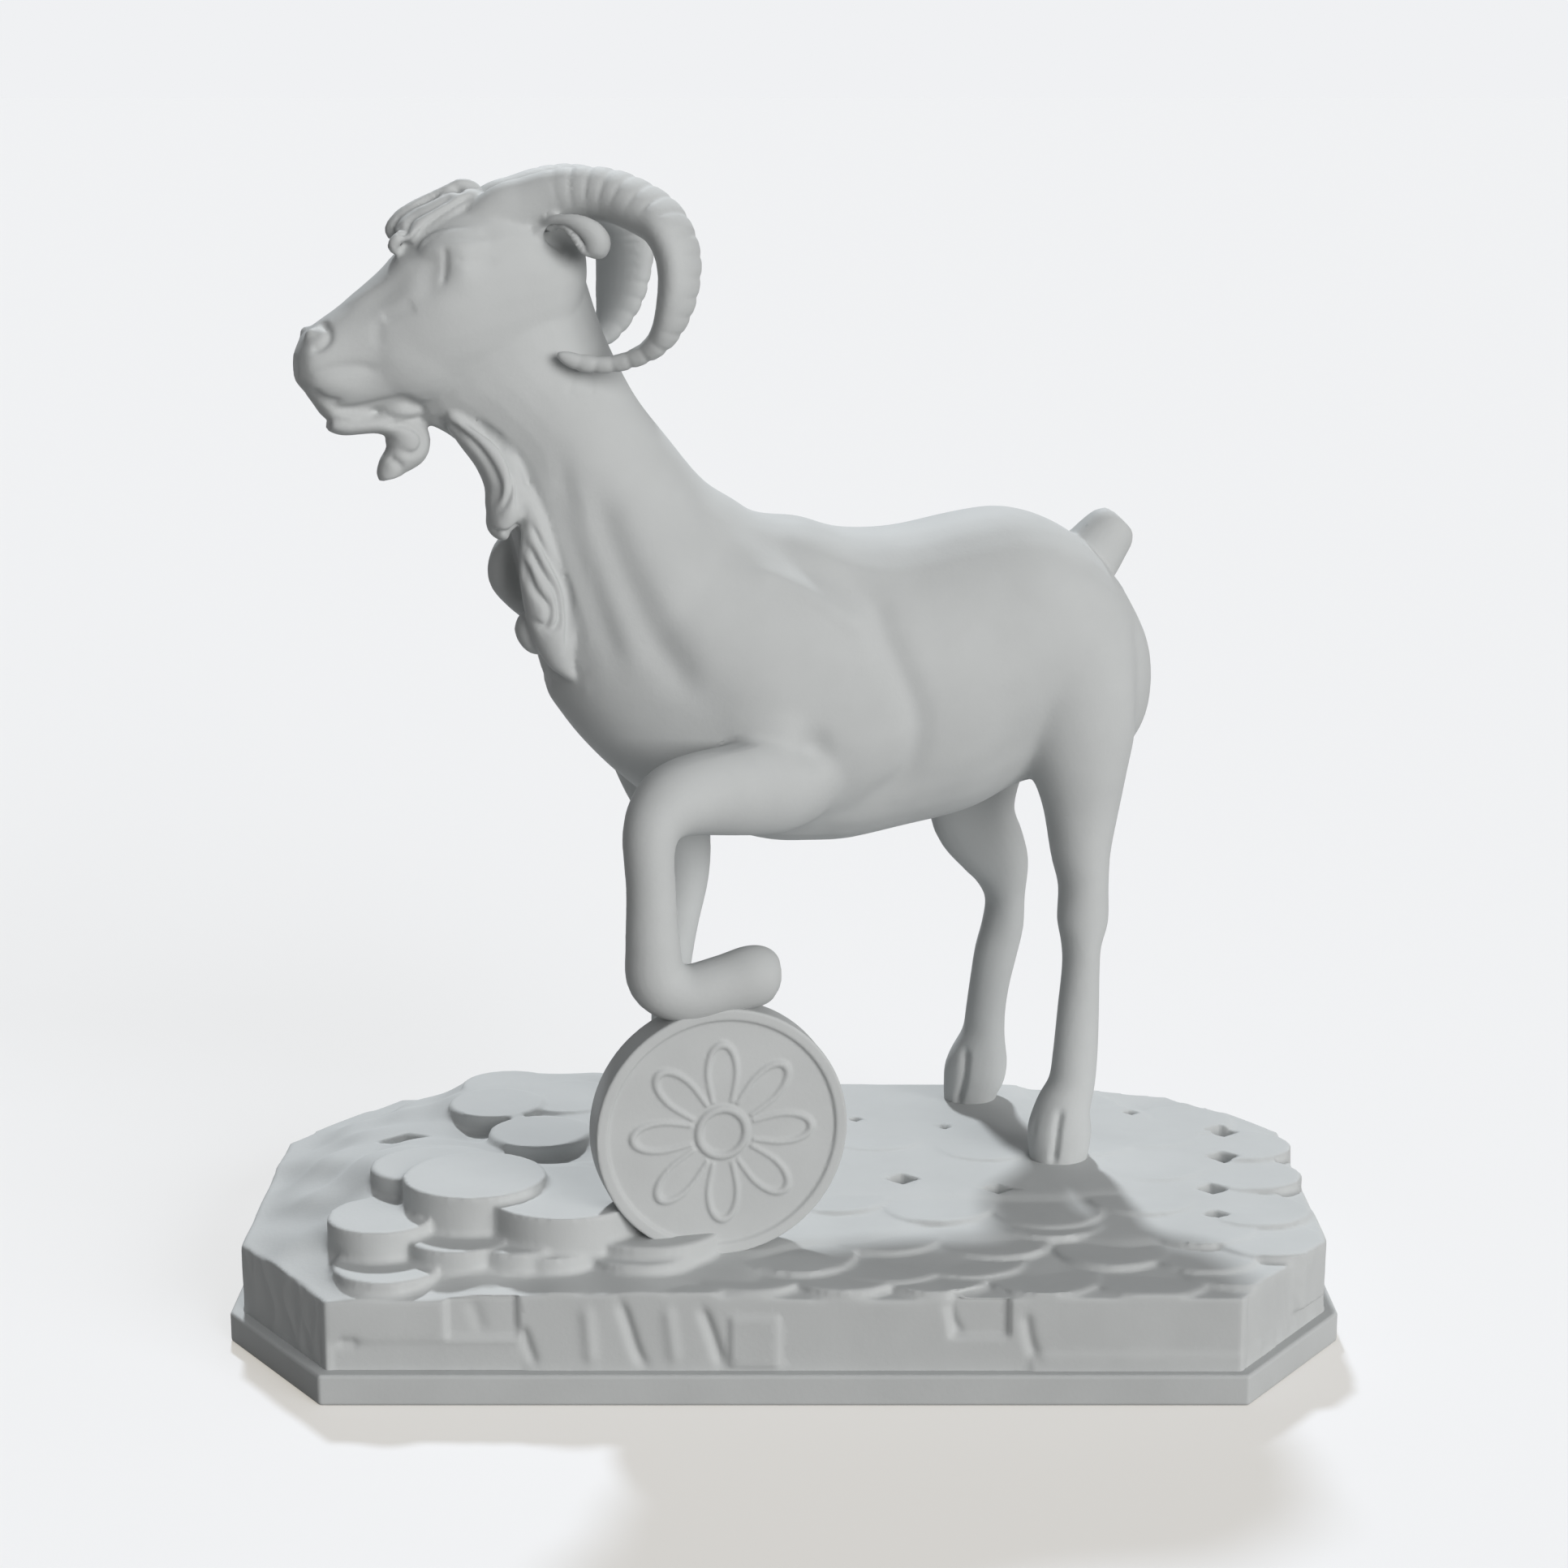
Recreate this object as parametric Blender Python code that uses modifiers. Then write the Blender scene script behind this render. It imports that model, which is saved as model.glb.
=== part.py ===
"""Goat figurine, cast in one piece.

A goat stands on a heap of flat coins on an eight-sided plinth, with its near foreleg
raised on a coin that stands on edge. Metres, +Z up, the goat's head towards -X, and the
origin in the middle of the plinth's underside.
"""

import math

import bmesh
import bpy
from mathutils import Vector

# Plinth
PLINTH_LENGTH = 0.160
PLINTH_DEPTH = 0.093
PLINTH_CORNER_X = 0.016
PLINTH_CORNER_Y = 0.023
PLATE_THICKNESS = 0.0045
BLOCK_HEIGHT = 0.0098
BLOCK_INSET = 0.0018

# Coins lying on the plinth
COIN_RADIUS = 0.0072
HEAP_THICKNESS = 0.0027
LEVEL_COIN_RADIUS = 0.0080
LEVEL_COIN_TILT = math.radians(3.6)
GROUND_SWELL = 0.0060
FACE_STEP = 0.00005  # how far the cut coins stand back from the block's sides, and from each other

# Coin standing on edge
STANDING_COIN_RADIUS = 0.0180
STANDING_COIN_THICKNESS = 0.0056
STANDING_COIN_X = -0.0092
STANDING_COIN_SETBACK = 0.0175
STANDING_COIN_TURN = math.radians(14.0)
STANDING_COIN_RIM = 0.0015
STANDING_COIN_RELIEF = 0.0006

# Goat
GOAT_TURN = math.radians(17.0)
GOAT_X = 0.0359
GOAT_Y = 0.0230
BELLY_HEIGHT = 0.049
TORSO_LENGTH = 0.095
TORSO_DEPTH = 0.049
TORSO_WIDTH = 0.036
HOOF_SPREAD = 0.0312
NECK_LENGTH = 0.0455
NECK_DEPTH = 0.040
NECK_WIDTH = 0.030
HEAD_LENGTH = 0.036
HEAD_DEPTH = 0.030
HEAD_WIDTH = 0.019
HORN_SIZE = 0.030
HORN_THICKNESS = 0.0084
CANNON_LENGTH = 0.024
TAIL_LENGTH = 0.011

# Fineness of the goat's surface
VOXEL = 0.0009
GOAT_TRIANGLES = 7400
RING_POINTS = 20
COIN_POINTS = 24
GROUND_CELLS_X = 30
GROUND_CELLS_Y = 16

# How far touching forms run into each other so that they join
SEAT = 0.0006

BLOCK_TOP = PLATE_THICKNESS + BLOCK_HEIGHT
GROUND = BLOCK_TOP + HEAP_THICKNESS
HALF_LENGTH = PLINTH_LENGTH / 2
HALF_DEPTH = PLINTH_DEPTH / 2

for old in list(bpy.data.objects):
    bpy.data.objects.remove(old)

figurine = bpy.data.collections.new("goat_figurine")
guides = bpy.data.collections.new("guides")
bpy.context.scene.collection.children.link(figurine)
bpy.context.scene.collection.children.link(guides)


def add_object(name, mesh, collection):
    thing = bpy.data.objects.new(name, mesh)
    collection.objects.link(thing)
    if collection is guides:
        thing.hide_render = True
        thing.display_type = "WIRE"
    return thing


def mesh_from(name, bm):
    mesh = bpy.data.meshes.new(name)
    bm.to_mesh(mesh)
    bm.free()
    return mesh


def baked_mesh(thing):
    """The object's mesh with its modifiers applied."""
    depsgraph = bpy.context.evaluated_depsgraph_get()
    depsgraph.update()
    return bpy.data.meshes.new_from_object(thing.evaluated_get(depsgraph))


class Frame:
    """A place and a heading on the goat: forward, side (towards the viewer) and up."""

    def __init__(self, origin, turn):
        self.origin = Vector(origin)
        self.forward = Vector((-math.cos(turn), -math.sin(turn), 0))
        self.side = Vector((math.sin(turn), -math.cos(turn), 0))
        self.up = Vector((0, 0, 1))

    def at(self, forward, side, up):
        return self.origin + self.forward * forward + self.side * side + self.up * up


goat = Frame((GOAT_X, GOAT_Y, GROUND), GOAT_TURN)


def curve_through(stations, steps):
    """Catmull-Rom stations between the given ones, all their values alike."""
    rows = [stations[0]] + list(stations) + [stations[-1]]
    result = []
    for a, b, c, d in zip(rows, rows[1:], rows[2:], rows[3:]):
        for step in range(steps):
            t = step / steps
            row = []
            for p, q, r, s in zip(a, b, c, d):
                bend = 2 * p - 5 * q + 4 * r - s
                row.append(0.5 * (2 * q + (r - p) * t + bend * t * t + (3 * q - p - 3 * r + s) * t ** 3))
            result.append(tuple(row))
    result.append(tuple(stations[-1]))
    return result


def add_loft(bm, sections):
    """A closed skin through elliptical sections (centre, half axis, half axis)."""
    rings = []
    for centre, across, along in sections:
        made = bmesh.ops.create_circle(bm, cap_ends=False, segments=RING_POINTS, radius=1)
        for vert in made["verts"]:
            x, y = vert.co.x, vert.co.y
            vert.co = centre + across * x + along * y
        rings.append(made["verts"])
    for first, second in zip(rings, rings[1:]):
        near = set(first) | set(second)
        edges = [edge for edge in bm.edges if edge.verts[0] in near and edge.verts[1] in near]
        loops = [edge for edge in edges if not edge.link_faces or edge.is_boundary]
        bmesh.ops.bridge_loops(bm, edges=loops)
    for ring in (rings[0], rings[-1]):
        bmesh.ops.contextual_create(bm, geom=ring)


def add_upright_form(bm, frame, stations):
    """Sections that stand square to the frame: (forward, bottom, top, half width)."""
    sections = []
    for forward, bottom, top, half in curve_through(stations, 3):
        centre = frame.at(forward, 0, (bottom + top) / 2)
        sections.append((centre, frame.side * half, frame.up * (top - bottom) / 2))
    add_loft(bm, sections)


def add_limb(bm, stations, side, steps=3):
    """Sections square to a path: (place x, y, z, half depth, half width)."""
    rows = curve_through(stations, steps)
    sections = []
    for index, row in enumerate(rows):
        before = Vector(rows[max(index - 1, 0)][:3])
        after = Vector(rows[min(index + 1, len(rows) - 1)][:3])
        tangent = (after - before).normalized()
        across = (side - tangent * side.dot(tangent)).normalized()
        along = tangent.cross(across)
        sections.append((Vector(row[:3]), across * row[4], along * row[3]))
    add_loft(bm, sections)


def placed(frame, rows):
    """Turn (forward, side, up, ...) rows into (x, y, z, ...) rows."""
    return [tuple(frame.at(*row[:3])) + tuple(row[3:]) for row in rows]


# Shares of the torso's length, depth and width: (forward, bottom, top, half width)
TORSO = (
    (0.02, 0.41, 0.55, 0.08),
    (0.03, 0.32, 0.62, 0.20),
    (0.052, 0.245, 0.70, 0.29),
    (0.096, 0.185, 0.82, 0.39),
    (0.163, 0.16, 0.945, 0.455),
    (0.25, 0.13, 1.01, 0.485),
    (0.33, 0.08, 1.00, 0.495),
    (0.44, 0.02, 0.96, 0.505),
    (0.54, 0.00, 0.98, 0.51),
    (0.65, 0.01, 1.02, 0.50),
    (0.75, 0.06, 1.08, 0.465),
    (0.84, 0.14, 1.05, 0.42),
    (0.92, 0.27, 0.94, 0.35),
    (0.97, 0.38, 0.77, 0.24),
    (1.00, 0.47, 0.65, 0.11),
)
TORSO_REAR = -0.226  # where the torso starts, behind the hind hooves

# Shares of the neck: (forward, up, half depth, half width)
NECK = (
    (-0.10, -0.12, 0.47, 0.44),
    (-0.01, 0.00, 0.50, 0.50),
    (0.105, 0.22, 0.42, 0.44),
    (0.20, 0.40, 0.375, 0.39),
    (0.28, 0.58, 0.335, 0.345),
    (0.345, 0.75, 0.315, 0.315),
    (0.38, 0.92, 0.29, 0.29),
    (0.38, 1.06, 0.24, 0.26),
)
NECK_ROOT = (0.853, 0.755)  # shares of the torso's length and depth

# Shares of the head: (forward, bottom, top, half width)
HEAD = (
    (0.00, 0.30, 0.86, 0.30),
    (0.09, 0.14, 0.98, 0.44),
    (0.22, 0.03, 1.00, 0.50),
    (0.36, -0.01, 0.97, 0.50),
    (0.50, -0.04, 0.85, 0.46),
    (0.61, -0.05, 0.73, 0.40),
    (0.71, -0.055, 0.62, 0.335),
    (0.81, -0.055, 0.52, 0.30),
    (0.90, -0.03, 0.45, 0.27),
    (0.96, 0.02, 0.37, 0.23),
    (1.00, 0.09, 0.26, 0.11),
)

# Shares of the belly height: (forward, side out of half the hoof spread, up, depth, width)
NEAR_HIND_LEG = (
    (-0.020, 0.51, 1.71, 0.212, 0.176),
    (-0.078, 0.63, 1.53, 0.220, 0.176),
    (-0.098, 0.705, 1.39, 0.200, 0.163),
    (-0.114, 0.77, 1.245, 0.167, 0.147),
    (-0.118, 0.82, 1.12, 0.133, 0.122),
    (-0.112, 0.86, 0.98, 0.102, 0.100),
    (-0.118, 0.885, 0.867, 0.080, 0.086),
    (-0.112, 0.90, 0.755, 0.080, 0.080),
    (-0.108, 0.917, 0.673, 0.061, 0.069),
    (-0.106, 0.93, 0.60, 0.058, 0.063),
    (-0.098, 0.95, 0.47, 0.065, 0.063),
    (-0.090, 0.99, 0.33, 0.069, 0.064),
    (-0.074, 1.00, 0.20, 0.078, 0.072),
    (-0.045, 1.00, 0.10, 0.100, 0.080),
    (-0.038, 1.00, 0.02, 0.096, 0.080),
    (-0.036, 1.00, -0.03, 0.080, 0.066),
)
FAR_HIND_LEG = (
    (-0.020, 0.51, 1.71, 0.212, 0.176),
    (-0.012, 0.69, 1.45, 0.222, 0.163),
    (0.040, 0.795, 1.245, 0.188, 0.143),
    (0.070, 0.846, 1.08, 0.155, 0.122),
    (0.053, 0.885, 0.96, 0.135, 0.106),
    (-0.016, 0.904, 0.857, 0.114, 0.092),
    (-0.061, 0.923, 0.784, 0.096, 0.084),
    (-0.080, 0.936, 0.688, 0.065, 0.071),
    (-0.076, 0.95, 0.592, 0.069, 0.065),
    (-0.055, 0.96, 0.50, 0.071, 0.063),
    (-0.037, 0.975, 0.40, 0.066, 0.063),
    (-0.03, 0.99, 0.33, 0.064, 0.062),
    (-0.016, 1.00, 0.21, 0.070, 0.070),
    (0.006, 1.00, 0.12, 0.098, 0.080),
    (0.02, 1.00, 0.04, 0.094, 0.078),
    (0.025, 1.00, -0.03, 0.078, 0.064),
)
FAR_FORELEG = (
    (1.12, 0.58, 1.45, 0.22, 0.16),
    (1.08, 0.72, 1.20, 0.15, 0.12),
    (1.02, 0.82, 1.00, 0.100, 0.085),
    (1.00, 0.86, 0.85, 0.085, 0.078),
    (1.02, 0.88, 0.70, 0.072, 0.068),
    (1.06, 0.90, 0.58, 0.072, 0.068),
    (1.06, 0.92, 0.42, 0.058, 0.058),
    (1.06, 0.95, 0.24, 0.066, 0.066),
    (1.09, 0.98, 0.12, 0.094, 0.078),
    (1.11, 1.00, 0.03, 0.092, 0.078),
    (1.11, 1.00, -0.03, 0.078, 0.064),
)

# Shares of the horn's size round its curl: (forward, out, up, half thickness)
HORN = (
    (0.761, 0.093, 0.205, 0.429),
    (0.638, 0.107, 0.288, 0.488),
    (0.538, 0.12, 0.321, 0.488),
    (0.408, 0.147, 0.365, 0.464),
    (0.265, 0.20, 0.385, 0.446),
    (0.148, 0.26, 0.375, 0.446),
    (0.055, 0.313, 0.331, 0.446),
    (-0.025, 0.363, 0.275, 0.44),
    (-0.075, 0.407, 0.205, 0.423),
    (-0.105, 0.433, 0.108, 0.405),
    (-0.109, 0.447, -0.005, 0.381),
    (-0.092, 0.447, -0.129, 0.345),
    (-0.059, 0.437, -0.232, 0.286),
    (-0.009, 0.42, -0.309, 0.226),
    (0.068, 0.40, -0.362, 0.19),
    (0.161, 0.38, -0.399, 0.179),
    (0.248, 0.363, -0.412, 0.169),
    (0.341, 0.35, -0.399, 0.149),
    (0.418, 0.34, -0.372, 0.113),
    (0.455, 0.333, -0.355, 0.07),
)

# Coins in the taller heap: shares of the plinth's half length and half depth, top and radius
HEAP_COINS = (
    (-0.71, -0.615, 2.60, 1.07), (-0.554, -0.486, 4.04, 1.43), (-0.658, -0.331, 3.67, 1.06),
    (-0.571, -0.673, 1.93, 1.06), (-0.462, -0.671, 1.81, 1.06), (-0.386, -0.559, 3.00, 1.60),
    (-0.234, -0.591, 1.96, 1.42), (-0.404, -0.675, 1.52, 1.03), (-0.249, -0.667, 1.30, 1.19),
    (-0.691, -0.774, 0.96, 1.08), (-0.465, 0.129, 2.85, 1.08), (-0.564, 0.424, 2.85, 1.03),
    (-0.554, 0.667, 2.41, 1.00), (-0.425, 0.516, 2.63, 1.11),
)

# Coins of the level part, each tipped up at its front edge: the same shares, and the top
LEVEL_COINS = (
    (0.18, 0.41, 1.06), (0.39, 0.31, 1.06), (0.59, 0.37, 1.02), (0.76, 0.26, 0.98),
    (-0.02, 0.34, 1.06), (0.095, -0.17, 0.94), (0.28, -0.25, 0.94), (-0.09, -0.12, 1.02),
    (0.48, -0.29, 0.94), (0.66, -0.17, 0.91), (0.38, -0.52, 0.69), (0.58, -0.585, 0.65),
    (0.18, -0.48, 0.76), (0.75, -0.43, 0.80), (0.26, -0.80, 0.46), (0.45, -0.81, 0.46),
    (0.64, -0.83, 0.39), (-0.06, -0.80, 0.50), (0.105, -0.81, 0.54), (0.025, -0.67, 0.72),
    (0.79, -0.74, 0.43), (0.74, -0.62, 0.57), (-0.16, -0.82, 0.39), (0.88, -0.45, 0.83),
    (0.89, -0.185, 0.87), (0.87, 0.10, 0.91), (0.88, 0.35, 0.91), (0.82, 0.56, 0.91),
    (0.725, 0.72, 0.91), (0.575, 0.80, 0.87), (0.86, -0.68, 0.57),
)

# The lie of the ground between the coins: the same shares, and the height
LIE_OF_GROUND = (
    (-0.93, -0.80, 0.00), (-0.75, -0.92, 0.00), (-0.45, -0.90, 0.04), (-0.12, -0.92, 0.10),
    (0.35, -0.95, 0.22), (0.80, -0.86, 0.26), (-0.97, -0.43, -0.30), (-0.97, 0.00, -0.20),
    (-0.85, 0.60, 0.10), (-0.60, 0.90, 1.00), (0.00, 0.95, 1.00), (0.72, 0.90, 0.96),
    (-0.84, -0.58, 0.70), (-0.86, -0.26, 1.37), (-0.82, 0.09, 1.60), (-0.70, 0.50, 1.40),
    (-0.65, 0.71, 1.37), (-0.67, -0.65, 0.50), (-0.75, -0.34, 2.10), (-0.70, -0.13, 2.70),
    (-0.625, -0.13, 3.15), (-0.55, -0.26, 3.80), (-0.46, -0.26, 3.45), (-0.55, 0.02, 2.50),
    (-0.66, 0.13, 2.20), (-0.50, 0.30, 2.10), (-0.64, 0.34, 1.67), (-0.36, -0.30, 2.80),
    (-0.26, -0.26, 2.00), (-0.15, -0.26, 1.30), (-0.375, 0.02, 2.26), (-0.375, 0.30, 2.00),
    (-0.31, 0.60, 1.60), (-0.44, 0.65, 1.80), (-0.15, 0.17, 1.20), (-0.12, 0.60, 1.00),
    (-0.575, -0.80, 0.10), (-0.375, -0.80, 0.15), (-0.19, -0.77, 0.26), (-0.36, -0.69, 0.80),
    (0.125, 0.04, 1.00), (0.625, 0.09, 1.00), (0.96, 0.00, 0.80), (0.42, 0.60, 1.00),
    (0.87, 0.47, 0.93), (0.125, -0.39, 0.80), (0.375, -0.43, 0.74), (0.85, -0.39, 0.78),
    (0.125, -0.73, 0.40), (0.60, -0.75, 0.34), (0.825, -0.69, 0.40), (-0.125, -0.65, 0.85),
)


def scaled(rows, *sizes):
    return [tuple(share * size for share, size in zip(row, sizes)) for row in rows]


def leg_rows(frame, rows, hand):
    half_spread = HOOF_SPREAD / 2 * hand
    sizes = (BELLY_HEIGHT, half_spread, BELLY_HEIGHT, BELLY_HEIGHT, BELLY_HEIGHT)
    return placed(frame, scaled(rows, *sizes))


def add_goat_body(bm):
    torso = Frame(goat.at(TORSO_REAR * TORSO_LENGTH, 0, BELLY_HEIGHT), GOAT_TURN)
    add_upright_form(bm, torso, scaled(TORSO, TORSO_LENGTH, TORSO_DEPTH, TORSO_DEPTH, TORSO_WIDTH))

    root_forward, root_up = NECK_ROOT
    neck_root = torso.at(root_forward * TORSO_LENGTH, 0, root_up * TORSO_DEPTH)
    neck = Frame(neck_root, GOAT_TURN)
    rows = [(forward * NECK_LENGTH, 0, up * NECK_LENGTH, depth * NECK_DEPTH, width * NECK_WIDTH)
            for forward, up, depth, width in NECK]
    add_limb(bm, placed(neck, rows), neck.side)

    poll = neck.at(0.385 * NECK_LENGTH, 0, 0.92 * NECK_LENGTH)
    head = Frame(poll + neck.up * (-0.40 * HEAD_DEPTH) - neck.forward * (0.11 * HEAD_LENGTH), GOAT_TURN)
    add_upright_form(bm, head, scaled(HEAD, HEAD_LENGTH, HEAD_DEPTH, HEAD_DEPTH, HEAD_WIDTH))
    add_horns(bm, head)
    add_ears(bm, head)
    add_beard(bm, head)
    add_forelock(bm, head)
    add_mane(bm, neck)

    add_limb(bm, leg_rows(goat, NEAR_HIND_LEG, 1), goat.side)
    add_limb(bm, leg_rows(goat, FAR_HIND_LEG, -1), goat.side)
    add_limb(bm, leg_rows(goat, FAR_FORELEG, -1), goat.side)
    add_raised_leg(bm, torso)
    add_tail(bm, torso)


def add_horns(bm, head):
    centre = Frame(head.at(-0.36 * HEAD_LENGTH, 0, 0.62 * HEAD_DEPTH), GOAT_TURN)
    for hand in (1, -1):
        rows = []
        for forward, out, up, half in HORN:
            half_depth = half * HORN_THICKNESS
            place = (forward * HORN_SIZE, hand * out * HORN_SIZE, up * HORN_SIZE)
            rows.append(place + (half_depth, half_depth * 0.92))
        add_limb(bm, placed(centre, rows), head.side, steps=4)


def add_ears(bm, head):
    for hand in (1, -1):
        side = HEAD_WIDTH * hand
        rows = (
            (0.16 * HEAD_LENGTH, 0.30 * side, 0.76 * HEAD_DEPTH, 0.06 * HEAD_DEPTH, 0.05 * HEAD_DEPTH),
            (0.08 * HEAD_LENGTH, 0.44 * side, 0.82 * HEAD_DEPTH, 0.05 * HEAD_DEPTH, 0.04 * HEAD_DEPTH),
            (0.01 * HEAD_LENGTH, 0.53 * side, 0.84 * HEAD_DEPTH, 0.07 * HEAD_DEPTH, 0.04 * HEAD_DEPTH),
            (-0.04 * HEAD_LENGTH, 0.55 * side, 0.79 * HEAD_DEPTH, 0.075 * HEAD_DEPTH, 0.05 * HEAD_DEPTH),
            (-0.07 * HEAD_LENGTH, 0.54 * side, 0.73 * HEAD_DEPTH, 0.05 * HEAD_DEPTH, 0.04 * HEAD_DEPTH),
        )
        add_limb(bm, placed(head, rows), head.side)


def add_strand(bm, frame, rows, length, depth, width=1.0):
    """A lock of hair: (forward, side, up, half thickness) in shares of its form's sizes."""
    path = []
    for forward, side, up, half in rows:
        path.append((forward * length, side * depth, up * depth, half * depth, half * depth * width))
    add_limb(bm, placed(frame, path), frame.side)


def add_beard(bm, head):
    curl = (
        (0.88, 0.0, -0.09, 0.055),
        (0.78, 0.0, -0.12, 0.062),
        (0.68, 0.0, -0.12, 0.070),
        (0.585, 0.0, -0.12, 0.085),
        (0.545, 0.0, -0.20, 0.098),
        (0.57, 0.0, -0.265, 0.082),
        (0.625, 0.0, -0.29, 0.064),
        (0.66, 0.0, -0.325, 0.050),
        (0.645, 0.0, -0.37, 0.055),
    )
    add_strand(bm, head, curl, HEAD_LENGTH, HEAD_DEPTH, 1.6)


def add_forelock(bm, head):
    lock = (
        (0.20, 0.0, 0.88, 0.045),
        (0.29, 0.0, 0.955, 0.070),
        (0.38, 0.0, 0.93, 0.082),
        (0.47, 0.0, 0.88, 0.085),
        (0.55, 0.0, 0.81, 0.085),
        (0.61, 0.0, 0.75, 0.055),
    )
    add_strand(bm, head, lock, HEAD_LENGTH, HEAD_DEPTH, 1.8)


def add_mane(bm, neck):
    near_lock = (
        (0.56, 0.08, 0.72, 0.035),
        (0.49, 0.09, 0.66, 0.060),
        (0.42, 0.10, 0.58, 0.075),
        (0.39, 0.10, 0.50, 0.078),
        (0.39, 0.11, 0.42, 0.070),
        (0.35, 0.14, 0.34, 0.050),
        (0.32, 0.16, 0.24, 0.070),
        (0.30, 0.17, 0.13, 0.078),
        (0.28, 0.17, 0.04, 0.070),
        (0.26, 0.16, -0.06, 0.050),
        (0.22, 0.16, -0.13, 0.020),
    )
    far_lock = (
        (0.46, -0.10, 0.66, 0.035),
        (0.40, -0.11, 0.54, 0.060),
        (0.38, -0.10, 0.40, 0.060),
        (0.38, -0.10, 0.26, 0.065),
        (0.36, -0.10, 0.16, 0.060),
        (0.31, -0.10, 0.04, 0.040),
    )
    for lock in (near_lock, far_lock):
        add_strand(bm, neck, lock, NECK_LENGTH, NECK_LENGTH, 1.2)


def standing_coin_centre():
    y = -HALF_DEPTH + STANDING_COIN_SETBACK
    return Vector((STANDING_COIN_X, y, GROUND + STANDING_COIN_RADIUS - SEAT))


def add_raised_leg(bm, torso):
    rest = standing_coin_centre() + Vector((0, 0, STANDING_COIN_RADIUS))
    perch = Frame(rest, STANDING_COIN_TURN)
    size = CANNON_LENGTH
    rows = [
        tuple(torso.at(0.66 * TORSO_LENGTH, 0.28 * TORSO_WIDTH, 0.61 * TORSO_DEPTH)) + (0.44 * size, 0.26 * size),
        tuple(torso.at(0.655 * TORSO_LENGTH, 0.34 * TORSO_WIDTH, 0.41 * TORSO_DEPTH)) + (0.40 * size, 0.27 * size),
        tuple(torso.at(0.67 * TORSO_LENGTH, 0.385 * TORSO_WIDTH, 0.25 * TORSO_DEPTH)) + (0.32 * size, 0.27 * size),
    ]
    lower = (
        (0.075, -0.42, 1.21, 0.262, 0.25),
        (0.29, -0.22, 1.217, 0.21, 0.21),
        (0.38, -0.10, 1.04, 0.163, 0.165),
        (0.385, -0.04, 0.72, 0.150, 0.155),
        (0.385, 0.00, 0.40, 0.158, 0.155),
        (0.35, 0.00, 0.18, 0.170, 0.165),
        (0.20, 0.00, 0.08, 0.170, 0.165),
        (-0.02, 0.00, 0.117, 0.170, 0.165),
        (-0.21, 0.00, 0.158, 0.188, 0.175),
        (-0.32, 0.00, 0.18, 0.162, 0.155),
        (-0.38, 0.00, 0.19, 0.100, 0.100),
    )
    rows += placed(perch, scaled(lower, size, size, size, size, size))
    add_limb(bm, rows, goat.side, steps=4)


def add_tail(bm, torso):
    length = TAIL_LENGTH
    root = torso.at(0.10 * TORSO_LENGTH, 0, 0.80 * TORSO_DEPTH)
    frame = Frame(root, GOAT_TURN)
    rows = (
        (0.36, 0.0, -0.15, 0.42, 0.38),
        (0.07, 0.0, 0.16, 0.41, 0.37),
        (-0.11, 0.0, 0.36, 0.37, 0.35),
        (-0.25, 0.0, 0.52, 0.33, 0.30),
        (-0.345, 0.0, 0.61, 0.24, 0.22),
    )
    add_limb(bm, placed(frame, scaled(rows, length, length, length, length, length)), frame.side)


def goat_mesh():
    bm = bmesh.new()
    add_goat_body(bm)
    bmesh.ops.recalc_face_normals(bm, faces=bm.faces[:])
    rough = add_object("goat_rough", mesh_from("goat_rough", bm), guides)
    remesh = rough.modifiers.new("skin", "REMESH")
    remesh.mode = "VOXEL"
    remesh.voxel_size = VOXEL
    smooth = rough.modifiers.new("smooth", "SMOOTH")
    smooth.factor = 0.5
    smooth.iterations = 4
    skin = baked_mesh(rough)
    skinned = add_object("goat_form", skin, guides)
    triangles = sum(len(face.vertices) - 2 for face in skin.polygons)
    decimate = skinned.modifiers.new("fewer", "DECIMATE")
    decimate.ratio = min(1.0, GOAT_TRIANGLES / triangles)
    return skinned


def cut_to_octagon(bm, inset, solid):
    """Trim whatever reaches past the plinth's eight sides, set in by so much."""
    sides = [(Vector((sx, 0, 0)), Vector((sx * HALF_LENGTH, 0, 0))) for sx in (-1, 1)]
    sides += [(Vector((0, sy, 0)), Vector((0, sy * HALF_DEPTH, 0))) for sy in (-1, 1)]
    for sx in (-1, 1):
        for sy in (-1, 1):
            normal = Vector((sx * PLINTH_CORNER_Y, sy * PLINTH_CORNER_X, 0)).normalized()
            sides.append((normal, Vector((sx * HALF_LENGTH, sy * (HALF_DEPTH - PLINTH_CORNER_Y), 0))))
    for normal, place in sides:
        geometry = bm.verts[:] + bm.edges[:] + bm.faces[:]
        cut = bmesh.ops.bisect_plane(
            bm, geom=geometry, plane_co=place - normal * inset, plane_no=normal, clear_outer=True
        )
        edges = [item for item in cut["geom_cut"] if isinstance(item, bmesh.types.BMEdge)]
        if solid and edges:
            bmesh.ops.edgenet_fill(bm, edges=edges)


def plate_mesh():
    bm = bmesh.new()
    made = bmesh.ops.create_cube(bm, size=1.0)
    for vert in made["verts"]:
        vert.co.x *= 2.1 * HALF_LENGTH
        vert.co.y *= 2.1 * HALF_DEPTH
        vert.co.z = PLATE_THICKNESS if vert.co.z > 0 else 0
    cut_to_octagon(bm, 0.0, True)
    bmesh.ops.recalc_face_normals(bm, faces=bm.faces[:])
    return mesh_from("goat_figurine", bm)


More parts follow.
